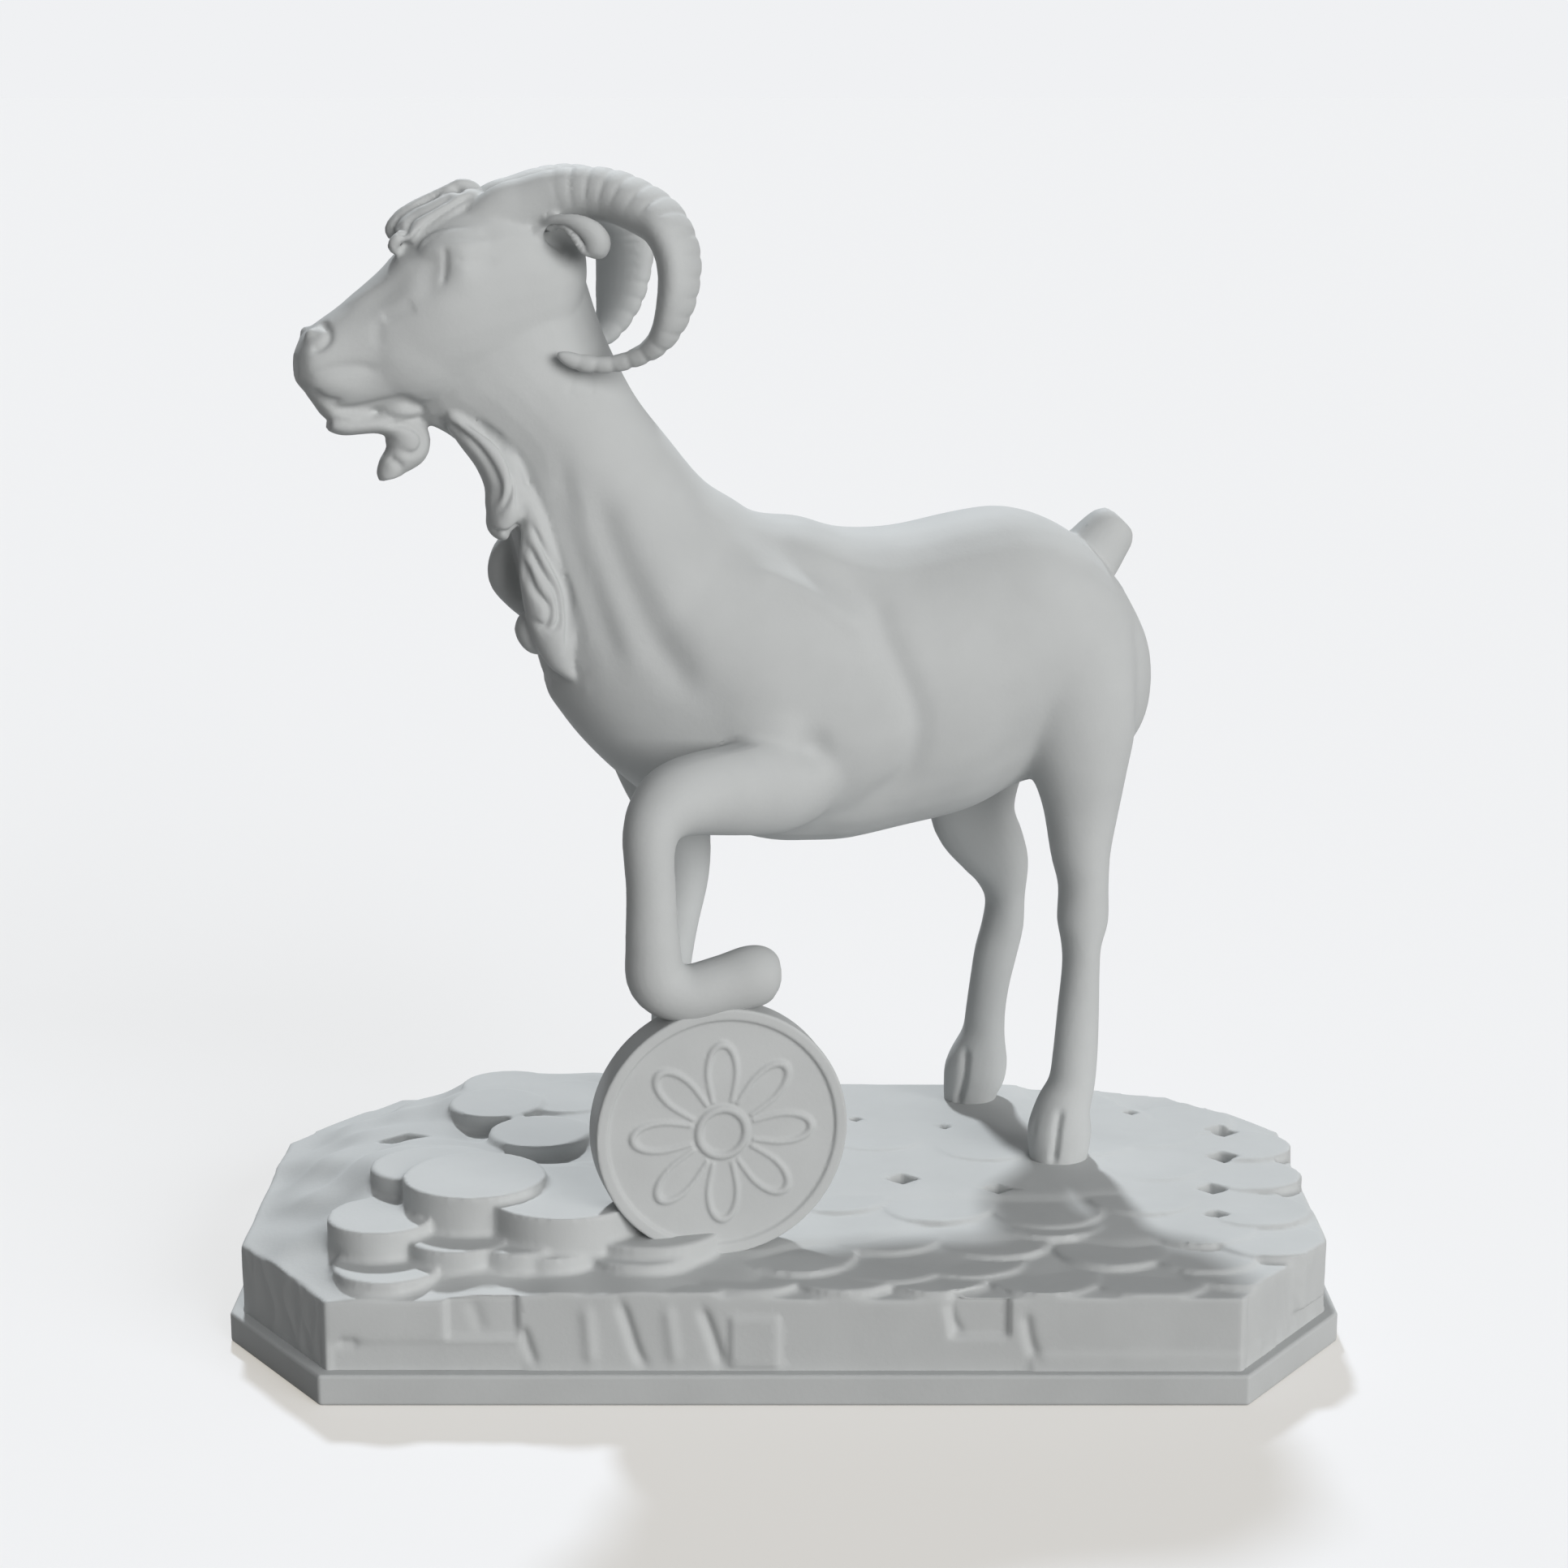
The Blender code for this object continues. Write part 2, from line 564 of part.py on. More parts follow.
def ground_height(x, y):
    """The ground between the coins, as a smooth lie through the given heights."""
    total = 0.0
    weight = 0.0
    for along, across, height in LIE_OF_GROUND:
        gap = (x - along * HALF_LENGTH) ** 2 + (y - across * HALF_DEPTH) ** 2
        pull = math.exp(-gap / (2 * GROUND_SWELL ** 2)) + 1e-9
        total += pull * height
        weight += pull
    return BLOCK_TOP + HEAP_THICKNESS * total / weight


def block_and_ground():
    """The block of the plinth, with its uneven top."""
    bm = bmesh.new()
    bmesh.ops.create_grid(bm, x_segments=GROUND_CELLS_X, y_segments=GROUND_CELLS_Y, size=1.0)
    for vert in bm.verts:
        vert.co.x *= HALF_LENGTH - BLOCK_INSET
        vert.co.y *= HALF_DEPTH - BLOCK_INSET
    cut_to_octagon(bm, BLOCK_INSET, False)
    lifted = bmesh.ops.extrude_face_region(bm, geom=bm.faces[:])
    raised = {item for item in lifted["geom"] if isinstance(item, bmesh.types.BMVert)}
    for vert in bm.verts:
        if vert in raised:
            vert.co.z = ground_height(vert.co.x, vert.co.y)
        else:
            vert.co.z = PLATE_THICKNESS - SEAT
    bmesh.ops.recalc_face_normals(bm, faces=bm.faces[:])
    bmesh.ops.triangulate(bm, faces=bm.faces[:])
    return add_object("block", mesh_from("block", bm), guides)


def add_coin(index, x, y, top, radius, tilt):
    """A coin with its front edge tipped up, drawn down into the block and cut at its sides."""
    name = "coin_%d" % index
    bm = bmesh.new()
    made = bmesh.ops.create_cone(
        bm, cap_ends=True, segments=COIN_POINTS, radius1=radius, radius2=radius, depth=1.0
    )
    for vert in made["verts"]:
        high = vert.co.z > 0
        vert.co.z = top - math.tan(tilt) * vert.co.y if high else BLOCK_TOP - PLATE_THICKNESS
        vert.co.x += x
        vert.co.y += y
    cut_to_octagon(bm, BLOCK_INSET + FACE_STEP * (1 + index % 7), True)
    bmesh.ops.recalc_face_normals(bm, faces=bm.faces[:])
    return add_object(name, mesh_from(name, bm), guides)


def heap_coins():
    rows = [row + (0.0,) for row in scaled(HEAP_COINS, 1, 1, 1, COIN_RADIUS)]
    rows += [row + (LEVEL_COIN_RADIUS, LEVEL_COIN_TILT) for row in LEVEL_COINS]
    coins = []
    for index, (along, across, height, radius, tilt) in enumerate(rows):
        top = BLOCK_TOP + height * HEAP_THICKNESS
        coins.append(add_coin(index, along * HALF_LENGTH, across * HALF_DEPTH, top, radius, tilt))
    return coins


def standing_coin():
    bm = bmesh.new()
    radius = STANDING_COIN_RADIUS
    made = bmesh.ops.create_cone(
        bm, cap_ends=True, segments=48, radius1=radius, radius2=radius, depth=STANDING_COIN_THICKNESS
    )
    caps = [face for face in bm.faces if abs(face.normal.z) > 0.9]
    bmesh.ops.inset_region(bm, faces=caps, thickness=STANDING_COIN_RIM)
    for face in caps:
        side = 1 if face.normal.z > 0 else -1
        for vert in face.verts:
            vert.co.z -= side * STANDING_COIN_RELIEF
    coin = add_object("standing_coin", mesh_from("standing_coin", bm), guides)
    coin.location = standing_coin_centre()
    coin.rotation_euler = (math.radians(90), 0, STANDING_COIN_TURN)
    return coin


def joined(base, others):
    for index, other in enumerate(others):
        union = base.modifiers.new("join_%d" % index, "BOOLEAN")
        union.operation = "UNION"
        union.solver = "EXACT"
        union.object = other
    return base


def pale_resin():
    material = bpy.data.materials.new("pale_resin")
    material.use_nodes = True
    shader = material.node_tree.nodes["Principled BSDF"]
    shader.inputs["Base Color"].default_value = (0.52, 0.53, 0.53, 1)
    shader.inputs["Roughness"].default_value = 0.62
    shader.inputs["Metallic"].default_value = 0.0
    return material


def main():
    plate = add_object("goat_figurine", plate_mesh(), figurine)
    joined(plate, [block_and_ground()] + heap_coins() + [standing_coin(), goat_mesh()])
    plate.data.materials.append(pale_resin())


main()
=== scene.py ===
"""The looks of the goat figurine: one pale, matt casting on an eight-sided plinth."""

import math

import bmesh
import bpy
import numpy as np
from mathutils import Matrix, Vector


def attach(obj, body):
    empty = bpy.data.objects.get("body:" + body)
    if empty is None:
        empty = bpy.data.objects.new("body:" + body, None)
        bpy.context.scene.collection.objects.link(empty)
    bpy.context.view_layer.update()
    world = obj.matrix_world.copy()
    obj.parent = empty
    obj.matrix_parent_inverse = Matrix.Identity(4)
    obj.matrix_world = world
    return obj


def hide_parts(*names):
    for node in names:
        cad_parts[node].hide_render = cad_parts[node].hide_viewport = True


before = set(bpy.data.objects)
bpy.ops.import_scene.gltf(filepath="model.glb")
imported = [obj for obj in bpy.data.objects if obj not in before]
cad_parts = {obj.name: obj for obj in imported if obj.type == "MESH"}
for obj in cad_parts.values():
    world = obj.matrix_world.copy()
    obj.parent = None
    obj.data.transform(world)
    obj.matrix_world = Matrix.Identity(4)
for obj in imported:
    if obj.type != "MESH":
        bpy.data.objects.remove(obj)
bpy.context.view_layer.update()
MM = 0.001

# The goat's own line: places are given along it, out to the near side, and up, in millimetres
GOAT_TURN = math.radians(17.0)
GOAT_PLACE = Vector((35.9, 23.0, 0.0))
FORWARD = Vector((-math.cos(GOAT_TURN), -math.sin(GOAT_TURN), 0.0))
NEAR = Vector((math.sin(GOAT_TURN), -math.cos(GOAT_TURN), 0.0))
UP = Vector((0.0, 0.0, 1.0))

# The plinth, in millimetres: a plate with a cut at each corner, and a block set in on it
HALF_LENGTH = 80.0
HALF_DEPTH = 46.5
CORNER_X = 16.0
CORNER_Y = 23.0
PLATE_TOP = 4.5
PLATE_BEVEL = 0.5
BLOCK_INSET = 1.8
BLOCK_FOOT = PLATE_TOP - 0.6

# The uneven ground: its cells from side to side and from front to back, and how far a given
# height pulls, in square millimetres
GROUND_CELLS = (156, 90)
GROUND_PULL = 26.0

# The flat coins, in millimetres and degrees
COIN_INSET = 1.9
COIN_FOOT = 8.0
HEAP_TILT = 0.5
LEVEL_RADIUS = 8.0
LEVEL_SINK = 0.35
LEVEL_TILT = 3.2
END_ROW = 66.0
END_REACH = 1.2

# The coin that stands on edge, with its sunk faces and their ornament
STANDING_COIN = Vector((-9.2, -29.0, 34.4))
STANDING_RADIUS = 18.0
STANDING_THICKNESS = 5.6
STANDING_TURN = math.radians(14.0)
RIM_WIDTH = 1.5
RIM_SLOPE = 0.35
RIM_BEVEL = 0.28
FACE_DEPTH = 0.5
PETALS = 8
PETAL_ROOT = 4.6
PETAL_REACH = 8.2
PETAL_SWING = 0.30
RING_RADIUS = 3.4
BAR_HALF = 0.62

# The skins: voxels in millimetres, and the most triangles that a piece may have
GOAT_VOXEL, GOAT_TRIANGLES = 0.38, 190000
HEAP_VOXEL, HEAP_TRIANGLES = 0.45, 185000
COIN_VOXEL, COIN_TRIANGLES = 0.2, 120000
BODY_ROUNDS = 110
FACE_ROUNDS = 16
BLEND_STEPS = 4
HORN_RING_PITCH = 2.45

# Screen colours from 0 to 255, and the floor's own linear ones
RESIN_TONE = (188, 190, 190)
BACKDROP_TONE = (240, 241, 243)
FLOOR_SEEN = (0.415, 0.44, 0.496, 1)
FLOOR_GLOW = (0.458, 0.430, 0.376, 1)
FLOOR_BOUNCE = (0.225, 0.22, 0.215, 1)

# The resin's finish: noise scales per metre, shares of its tone, roughness, and the grain's height
MOTTLE_SCALE = 90.0
MOTTLE_SHARES = (0.955, 1.03)
ROUGHNESS = (0.56, 0.70)
GRAIN_SCALE = 1500.0
GRAIN_STRENGTH = 0.12
GRAIN_HEIGHT = 0.0002
SPECULAR_LEVEL = 0.15

# The lamps: (name, direction towards it, strength, angle in degrees, tint)
SUNS = (
    ("window", (-0.10, 0.69, 0.72), 0.81, 5, (0.93, 0.97, 1.0)),
    ("ceiling", (0.0, 0.10, 1.0), 0.15, 80, (0.95, 0.98, 1.0)),
    ("soft_front", (0.62, -0.76, 0.20), 1.03, 46, (1.0, 0.995, 0.985)),
)
ROOM_TINT = (0.98, 0.99, 1.0, 1)
ROOM_STRENGTH = 0.10

# The camera, in metres, and the photograph's side, focal length and downward pitch in its pixels
CAMERA_PLACE = (0.0, -0.4530, 0.17845)
SENSOR = 36.0
PHOTO_SIDE = 1932.0
PHOTO_FOCAL = 3900.0
PHOTO_DOWN = 870.0


def sheet_tone(red, green, blue):
    """A screen colour, 0 to 255, as the linear colour that a shader takes."""
    linear = []
    for value in (red, green, blue):
        share = value / 255
        linear.append(share / 12.92 if share <= 0.04045 else ((share + 0.055) / 1.055) ** 2.4)
    return tuple(linear) + (1.0,)


def goat_place(along, near, up):
    """A place in the scene, in millimetres, from one in the goat's own line."""
    return GOAT_PLACE + FORWARD * along + NEAR * near + UP * up


def curve_through(stations, steps):
    """Smooth in-between stations, all their values alike."""
    rows = [stations[0]] + list(stations) + [stations[-1]]
    result = []
    for a, b, c, d in zip(rows, rows[1:], rows[2:], rows[3:]):
        for step in range(steps):
            t = step / steps
            row = []
            for p, q, r, s in zip(a, b, c, d):
                bend = 2 * p - 5 * q + 4 * r - s
                twist = 3 * q - p - 3 * r + s
                row.append(0.5 * (2 * q + (r - p) * t + bend * t * t + twist * t ** 3))
            result.append(tuple(row))
    result.append(tuple(stations[-1]))
    return result


def add_form(bm, sections, points=28, full=2.0):
    """A closed skin through rounded sections: (centre, half axis, half axis)."""
    rings = []
    for centre, across, along in sections:
        made = bmesh.ops.create_circle(bm, cap_ends=False, segments=points, radius=1)
        verts = made["verts"]
        edges = list({edge for vert in verts for edge in vert.link_edges})
        for vert in verts:
            x = math.copysign(abs(vert.co.x) ** (2 / full), vert.co.x)
            y = math.copysign(abs(vert.co.y) ** (2 / full), vert.co.y)
            vert.co = centre + across * x + along * y
        rings.append((verts, edges))
    for (_, first), (_, second) in zip(rings, rings[1:]):
        bmesh.ops.bridge_loops(bm, edges=first + second)
    for verts, _ in (rings[0], rings[-1]):
        bmesh.ops.contextual_create(bm, geom=verts)


def add_body_form(bm, stations, full=2.0):
    """Upright sections along the goat: (along, bottom, top, half width, near)."""
    sections = []
    for along, bottom, top, half, near in curve_through(stations, 4):
        centre = goat_place(along, near, (bottom + top) / 2)
        sections.append((centre, NEAR * half, UP * (top - bottom) / 2))
    add_form(bm, sections, full=full)


def add_tube(bm, rows, steps=4, side=NEAR, points=24):
    """Sections square to a path: (x, y, z, half depth, half width).

    A sixth value, if there is one, turns the section by so many degrees.
    """
    path = curve_through(rows, steps)
    sections = []
    for index, row in enumerate(path):
        before = Vector(path[max(index - 1, 0)][:3])
        after = Vector(path[min(index + 1, len(path) - 1)][:3])
        tangent = (after - before).normalized()
        across = (side - tangent * side.dot(tangent)).normalized()
        along = tangent.cross(across)
        turn = math.radians(row[5]) if len(row) > 5 else 0.0
        wide = across * math.cos(turn) + along * math.sin(turn)
        deep = along * math.cos(turn) - across * math.sin(turn)
        sections.append((Vector(row[:3]), wide * row[4], deep * row[3]))
    add_form(bm, sections, points)


def on_goat(rows):
    """Sections given in the goat's own line, put into the scene."""
    return [tuple(goat_place(*row[:3])) + tuple(row[3:]) for row in rows]


def mirrored(rows):
    """The same sections on the goat's far side."""
    return [
        (row[0], -row[1]) + tuple(row[2:5]) + tuple(-turn for turn in row[5:])
        for row in rows
    ]


def add_blob(bm, along, near, up, sizes, tilt=0.0):
    """A muscle: a ball drawn out along the goat, across it and upwards."""
    made = bmesh.ops.create_icosphere(bm, subdivisions=3, radius=1)
    centre = goat_place(along, near, up)
    lean = math.radians(tilt)
    for vert in made["verts"]:
        x, y, z = vert.co.x * sizes[0], vert.co.y * sizes[1], vert.co.z * sizes[2]
        run = x * math.cos(lean) - z * math.sin(lean)
        rise = x * math.sin(lean) + z * math.cos(lean)
        vert.co = centre + FORWARD * run + NEAR * y + UP * rise


# Upright sections along the goat: (along, bottom, top, half width, near)
TORSO = (
    (-19.6, 86.0, 93.0, 3.0, 0), (-18.6, 81.5, 96.5, 7.5, 0), (-16.6, 78.0, 100.4, 10.5, 0),
    (-12.4, 75.0, 106.3, 14.0, 0), (-6.0, 74.0, 112.4, 16.6, 0), (2.0, 73.0, 115.4, 17.6, 0),
    (10.0, 69.4, 114.9, 18.0, 0), (20.0, 67.6, 113.2, 18.3, 0), (29.0, 66.2, 113.4, 18.6, 0),
    (35.0, 66.3, 115.3, 18.5, 0), (41.0, 66.8, 115.9, 18.4, 0), (48.0, 69.0, 118.4, 17.6, 0),
    (56.0, 72.5, 119.0, 16.2, 0), (63.0, 77.8, 114.0, 14.2, 0), (68.6, 83.6, 108.0, 11.2, 0),
    (72.0, 88.2, 102.0, 7.2, 0), (73.6, 90.5, 97.5, 3.0, 0),
)

# Back and throat of the neck, with its half width: (back along, up, front along, up, half width)
NECK = (
    (37.0, 108.0, 66.0, 84.0, 14.0), (43.5, 116.8, 73.2, 91.5, 15.2), (50.0, 121.2, 75.6, 100.0, 13.8),
    (55.8, 128.2, 77.2, 108.5, 12.0), (60.0, 133.6, 79.0, 116.5, 10.4), (63.0, 139.2, 81.2, 123.4, 9.4),
    (65.4, 144.6, 87.4, 128.9, 8.8), (67.2, 150.4, 92.6, 132.8, 8.6), (68.6, 154.8, 90.0, 143.0, 8.0),
)

# Upright sections again, from the nape to the tip of the nose
HEAD = (
    (67.8, 149.0, 155.6, 4.0, 0), (70.6, 142.0, 159.0, 7.2, 0), (77.5, 136.6, 161.2, 9.0, 0),
    (83.0, 134.6, 161.4, 9.6, 0), (88.0, 133.6, 160.0, 9.5, 0), (92.0, 133.1, 157.0, 8.8, 0),
    (95.5, 132.9, 153.2, 7.6, 0), (99.0, 132.6, 150.2, 6.4, 0), (102.5, 132.4, 147.4, 5.8, 0),
    (105.4, 133.4, 145.4, 5.5, 0), (107.6, 135.4, 143.6, 4.8, 0), (108.9, 137.0, 141.0, 2.8, 0),
)

# Legs from the body down: (along, near, up, half depth, half width)
NEAR_HIND_LEG = (
    (0.6, 4.4, 103.0, 9.0, 7.0), (-3.2, 8.6, 93.0, 10.8, 8.4), (-4.8, 10.8, 85.0, 9.8, 8.0),
    (-5.2, 12.0, 78.0, 7.8, 7.2), (-5.4, 12.8, 72.0, 6.1, 6.0), (-5.2, 13.4, 65.0, 4.7, 4.9),
    (-5.6, 13.8, 59.5, 3.8, 4.2), (-5.5, 14.1, 54.0, 3.9, 3.9), (-5.3, 14.3, 50.0, 3.0, 3.4),
    (-5.2, 14.5, 46.4, 2.85, 3.1), (-4.8, 14.8, 40.0, 3.2, 3.1), (-4.4, 15.0, 33.5, 3.45, 3.2),
    (-3.8, 15.2, 28.5, 3.6, 3.5), (-2.4, 15.4, 24.8, 4.3, 4.0), (-1.9, 15.4, 21.5, 5.0, 4.3),
    (-1.8, 15.4, 18.0, 4.7, 4.2), (-1.8, 15.4, 15.2, 4.2, 3.8),
)
FAR_HIND_LEG = (
    (0.6, -4.4, 103.0, 9.0, 7.0), (-1.0, -10.2, 88.0, 11.0, 8.0), (1.2, -12.4, 78.0, 9.2, 7.0),
    (2.4, -13.2, 70.0, 7.7, 6.0), (1.7, -13.8, 64.0, 6.8, 5.2), (-1.2, -14.1, 59.0, 5.7, 4.5),
    (-3.0, -14.4, 55.4, 4.7, 4.1), (-3.9, -14.6, 50.7, 3.2, 3.5), (-3.7, -14.8, 46.0, 3.4, 3.2),
    (-2.7, -15.0, 41.5, 3.5, 3.1), (-1.8, -15.2, 36.5, 3.25, 3.1), (-1.2, -15.3, 32.0, 3.2, 3.2),
    (-0.9, -15.4, 28.0, 3.45, 3.5), (-0.2, -15.6, 24.0, 4.8, 4.0), (0.5, -15.6, 21.0, 5.1, 4.3),
    (1.2, -15.6, 18.0, 4.4, 4.0), (1.3, -15.6, 15.2, 4.0, 3.7),
)
FAR_FORELEG = (
    (54.9, -9.0, 88.0, 10.6, 7.8), (53.2, -11.2, 76.0, 7.4, 6.0), (50.4, -12.8, 66.0, 4.9, 4.6),
    (49.8, -13.4, 58.6, 4.1, 4.0), (50.8, -13.7, 51.3, 3.5, 3.6), (51.9, -14.0, 45.4, 3.6, 3.6),
    (51.9, -14.4, 37.6, 2.8, 3.0), (51.9, -14.8, 28.8, 3.2, 3.3), (53.2, -15.3, 23.2, 4.5, 4.0),
    (54.0, -15.4, 20.4, 4.9, 4.3), (54.4, -15.6, 17.6, 4.5, 4.1), (54.4, -15.6, 15.2, 4.1, 3.8),
)

# A horn, from the crown backwards and round to its tip: (along, near, up, half depth, half width, turn)
HORN = (
    (83.0, 2.8, 157.6, 3.6, 2.8, 0), (79.3, 3.2, 160.0, 4.1, 3.1, 0),
    (76.3, 3.6, 160.9, 4.1, 3.4, 0), (72.4, 4.6, 162.2, 3.9, 3.7, 6),
    (68.3, 6.4, 162.7, 3.75, 4.0, 12), (65.0, 8.4, 162.3, 3.65, 4.3, 18),
    (62.3, 10.6, 161.1, 3.5, 4.7, 24), (59.9, 12.6, 159.4, 3.3, 5.2, 28),
    (58.5, 14.3, 157.3, 3.1, 5.6, 28), (57.65, 15.3, 154.5, 3.0, 5.7, 28),
    (57.5, 15.7, 151.2, 2.85, 5.5, 28), (58.0, 15.5, 147.6, 2.6, 5.0, 28),
    (59.0, 15.0, 144.5, 2.2, 4.1, 26), (60.3, 14.2, 142.2, 1.85, 3.1, 22),
    (62.4, 13.1, 140.6, 1.6, 2.2, 18), (65.0, 12.0, 139.5, 1.5, 1.7, 12),
    (67.6, 11.2, 139.1, 1.42, 1.5, 6), (70.4, 10.6, 139.5, 1.25, 1.3, 0),
    (72.7, 10.2, 140.3, 0.95, 1.0, 0), (73.8, 10.0, 140.8, 0.4, 0.5, 0),
)
# Ears, tail, hair and locks: (along, near, up, half depth, half width)
EAR = (
    (75.4, 5.2, 157.0, 1.5, 1.5), (73.7, 8.0, 158.7, 1.1, 1.0), (72.2, 9.6, 158.9, 1.2, 1.0),
    (70.6, 10.6, 158.2, 1.9, 1.3), (69.2, 11.0, 157.0, 2.4, 1.6), (68.1, 10.9, 155.7, 2.3, 1.7),
    (67.5, 10.5, 154.7, 1.5, 1.3), (67.2, 10.2, 154.1, 0.6, 0.6),
)
TAIL = (
    (-8.0, 0.0, 103.6, 4.8, 4.4), (-11.2, 0.0, 107.2, 4.7, 4.2), (-13.3, 0.0, 109.7, 4.3, 3.9),
    (-15.0, 0.0, 111.5, 3.8, 3.4), (-16.0, 0.0, 112.5, 2.8, 2.5),
)
BEARD = (
    (104.4, 0, 131.3, 1.3, 2.8), (102.6, 0, 130.8, 1.5, 3.2), (100.0, 0, 130.9, 1.5, 3.4),
    (97.6, 0, 131.0, 1.6, 3.4), (95.4, 0, 130.6, 2.1, 3.4), (93.6, 0, 129.2, 3.1, 3.4),
    (93.5, 0, 127.4, 3.2, 3.2), (94.5, 0, 126.0, 2.5, 2.8), (95.7, 0, 124.9, 1.9, 2.4),
    (96.0, 0, 123.7, 1.9, 2.1), (95.9, 0, 123.0, 1.7, 1.7),
)
BEARD_LOWER_LIP = (
    (107.0, 0, 135.4, 0.6, 2.2), (105.6, 0, 134.4, 1.2, 3.0), (104.0, 0, 133.0, 1.6, 3.4),
    (102.0, 0, 132.2, 1.4, 3.2), (99.0, 0, 132.2, 0.8, 2.6),
)
FORELOCK = (
    (80.6, 0.0, 160.6, 1.2, 2.4), (83.6, 0.0, 161.7, 1.8, 3.0), (86.6, 0.0, 161.0, 1.9, 3.4),
    (89.6, 0.0, 159.6, 2.0, 3.5), (92.4, 0.0, 157.8, 2.0, 3.4), (94.0, 0.0, 156.8, 1.4, 2.8),
)
FORELOCK_STRANDS = (
    ((83.0, 0.6, 161.6, 0.6, 0.7), (82.4, 0.2, 162.6, 0.75, 0.8), (83.2, -0.2, 163.6, 0.8, 0.8),
     (84.8, -0.4, 163.9, 0.85, 0.9), (86.2, -0.6, 163.2, 0.9, 1.0), (88.6, -0.8, 162.0, 1.0, 1.2),
     (91.2, -1.0, 160.7, 1.1, 1.3), (93.3, -1.2, 159.4, 1.1, 1.3), (94.6, -1.4, 157.8, 1.0, 1.2),
     (94.4, -1.4, 156.4, 0.6, 0.8)),
    ((82.4, 2.0, 161.0, 0.7, 0.8), (84.6, 2.2, 161.6, 0.9, 1.0), (87.2, 2.6, 160.4, 1.0, 1.1),
     (89.8, 2.8, 158.8, 1.0, 1.1), (92.2, 3.0, 157.4, 1.0, 1.1), (94.0, 3.2, 157.0, 0.9, 1.0),
     (95.2, 3.0, 156.0, 0.8, 0.9), (95.0, 2.4, 155.0, 0.7, 0.8), (94.0, 2.2, 155.2, 0.4, 0.5)),
)
UPPER_LOCK = (
    (88.0, 3.0, 132.2, 1.3, 3.0), (85.0, 3.6, 129.4, 2.3, 3.8), (82.0, 4.2, 126.0, 2.8, 4.4),
    (80.4, 4.6, 122.2, 2.9, 4.6), (80.6, 4.8, 118.4, 2.7, 4.2), (81.4, 4.6, 116.2, 1.8, 3.4),
    (80.8, 4.2, 114.8, 0.9, 2.0),
)
LOWER_LOCK = (
    (78.4, 6.4, 121.4, 1.2, 1.6), (77.0, 7.0, 117.6, 1.7, 2.0), (76.6, 7.2, 114.4, 2.2, 2.5),
    (76.2, 7.4, 110.6, 3.0, 3.0), (75.4, 7.6, 106.4, 3.4, 3.2), (74.6, 7.6, 102.4, 3.4, 3.2),
    (74.0, 7.4, 99.4, 2.9, 3.0), (73.2, 7.2, 96.8, 2.0, 2.2), (71.4, 7.2, 94.0, 0.6, 1.0),
)
HOOK_LOCK = (
    (75.6, 4.8, 102.4, 1.4, 2.4), (77.0, 4.6, 102.6, 1.5, 2.4), (77.8, 4.4, 101.0, 1.5, 2.4),
    (77.0, 4.4, 99.2, 1.4, 2.2), (75.8, 4.4, 98.4, 1.2, 1.8), (74.6, 4.4, 97.8, 0.6, 1.0),
)
FAR_LOCK = (
    (76.4, -4.4, 114.0, 1.4, 2.4), (78.0, -4.6, 111.2, 2.4, 2.8), (78.4, -4.6, 107.6, 2.8, 3.0),
    (76.8, -4.6, 104.2, 2.0, 2.6), (75.2, -4.6, 101.6, 1.0, 1.6),
)
TAIL_AND_HAIR = (
    TAIL, BEARD, BEARD_LOWER_LIP, FORELOCK, UPPER_LOCK, LOWER_LOCK, HOOK_LOCK, FAR_LOCK,
) + FORELOCK_STRANDS

# The raised foreleg from its elbow, round the knee to the hoof, set on the top of the standing
# coin: (ahead, out, up, half depth, half width)
RAISED_FORELEG = (
    (1.8, -10.1, 27.7, 5.8, 6.0), (6.9, -5.3, 26.6, 4.7, 4.9), (9.1, -2.4, 23.6, 3.9, 4.0),
    (9.2, -1.0, 17.3, 3.6, 3.7), (9.2, 0.0, 9.6, 3.8, 3.7), (8.6, 0.0, 4.2, 4.2, 4.0),
    (4.8, 0.0, 1.9, 4.1, 4.0), (-0.5, 0.0, 2.8, 4.1, 4.0), (-4.8, 0.0, 3.7, 4.4, 4.2),
    (-7.2, 0.0, 4.0, 3.8, 3.7), (-8.6, 0.0, 4.0, 2.3, 2.4),
)


def add_neck(bm):
    """Sections that lean with the neck, from its back to its throat."""
    sections = []
    for back_along, back_up, front_along, front_up, half in curve_through(NECK, 4):
        back = goat_place(back_along, 0, back_up)
        front = goat_place(front_along, 0, front_up)
        sections.append(((back + front) / 2, NEAR * half, (front - back) / 2))
    add_form(bm, sections)


def add_raised_leg(bm):
    """The near foreleg, which reaches out and rests on the coin that stands on edge."""
    ahead = Vector((-math.cos(STANDING_TURN), -math.sin(STANDING_TURN), 0))
    side = Vector((math.sin(STANDING_TURN), -math.cos(STANDING_TURN), 0))
    top = STANDING_COIN + UP * STANDING_RADIUS
    rows = [
        tuple(goat_place(42.0, 6.6, 99.0)) + (9.6, 6.0),
        tuple(goat_place(40.0, 10.6, 88.0)) + (9.4, 7.0),
        tuple(goat_place(41.4, 13.2, 78.8)) + (7.8, 6.8),
    ]
    for along, out, up, depth, width in RAISED_FORELEG:
        rows.append(tuple(top + ahead * along + side * out + UP * up) + (depth, width))
    add_tube(bm, rows, steps=5)


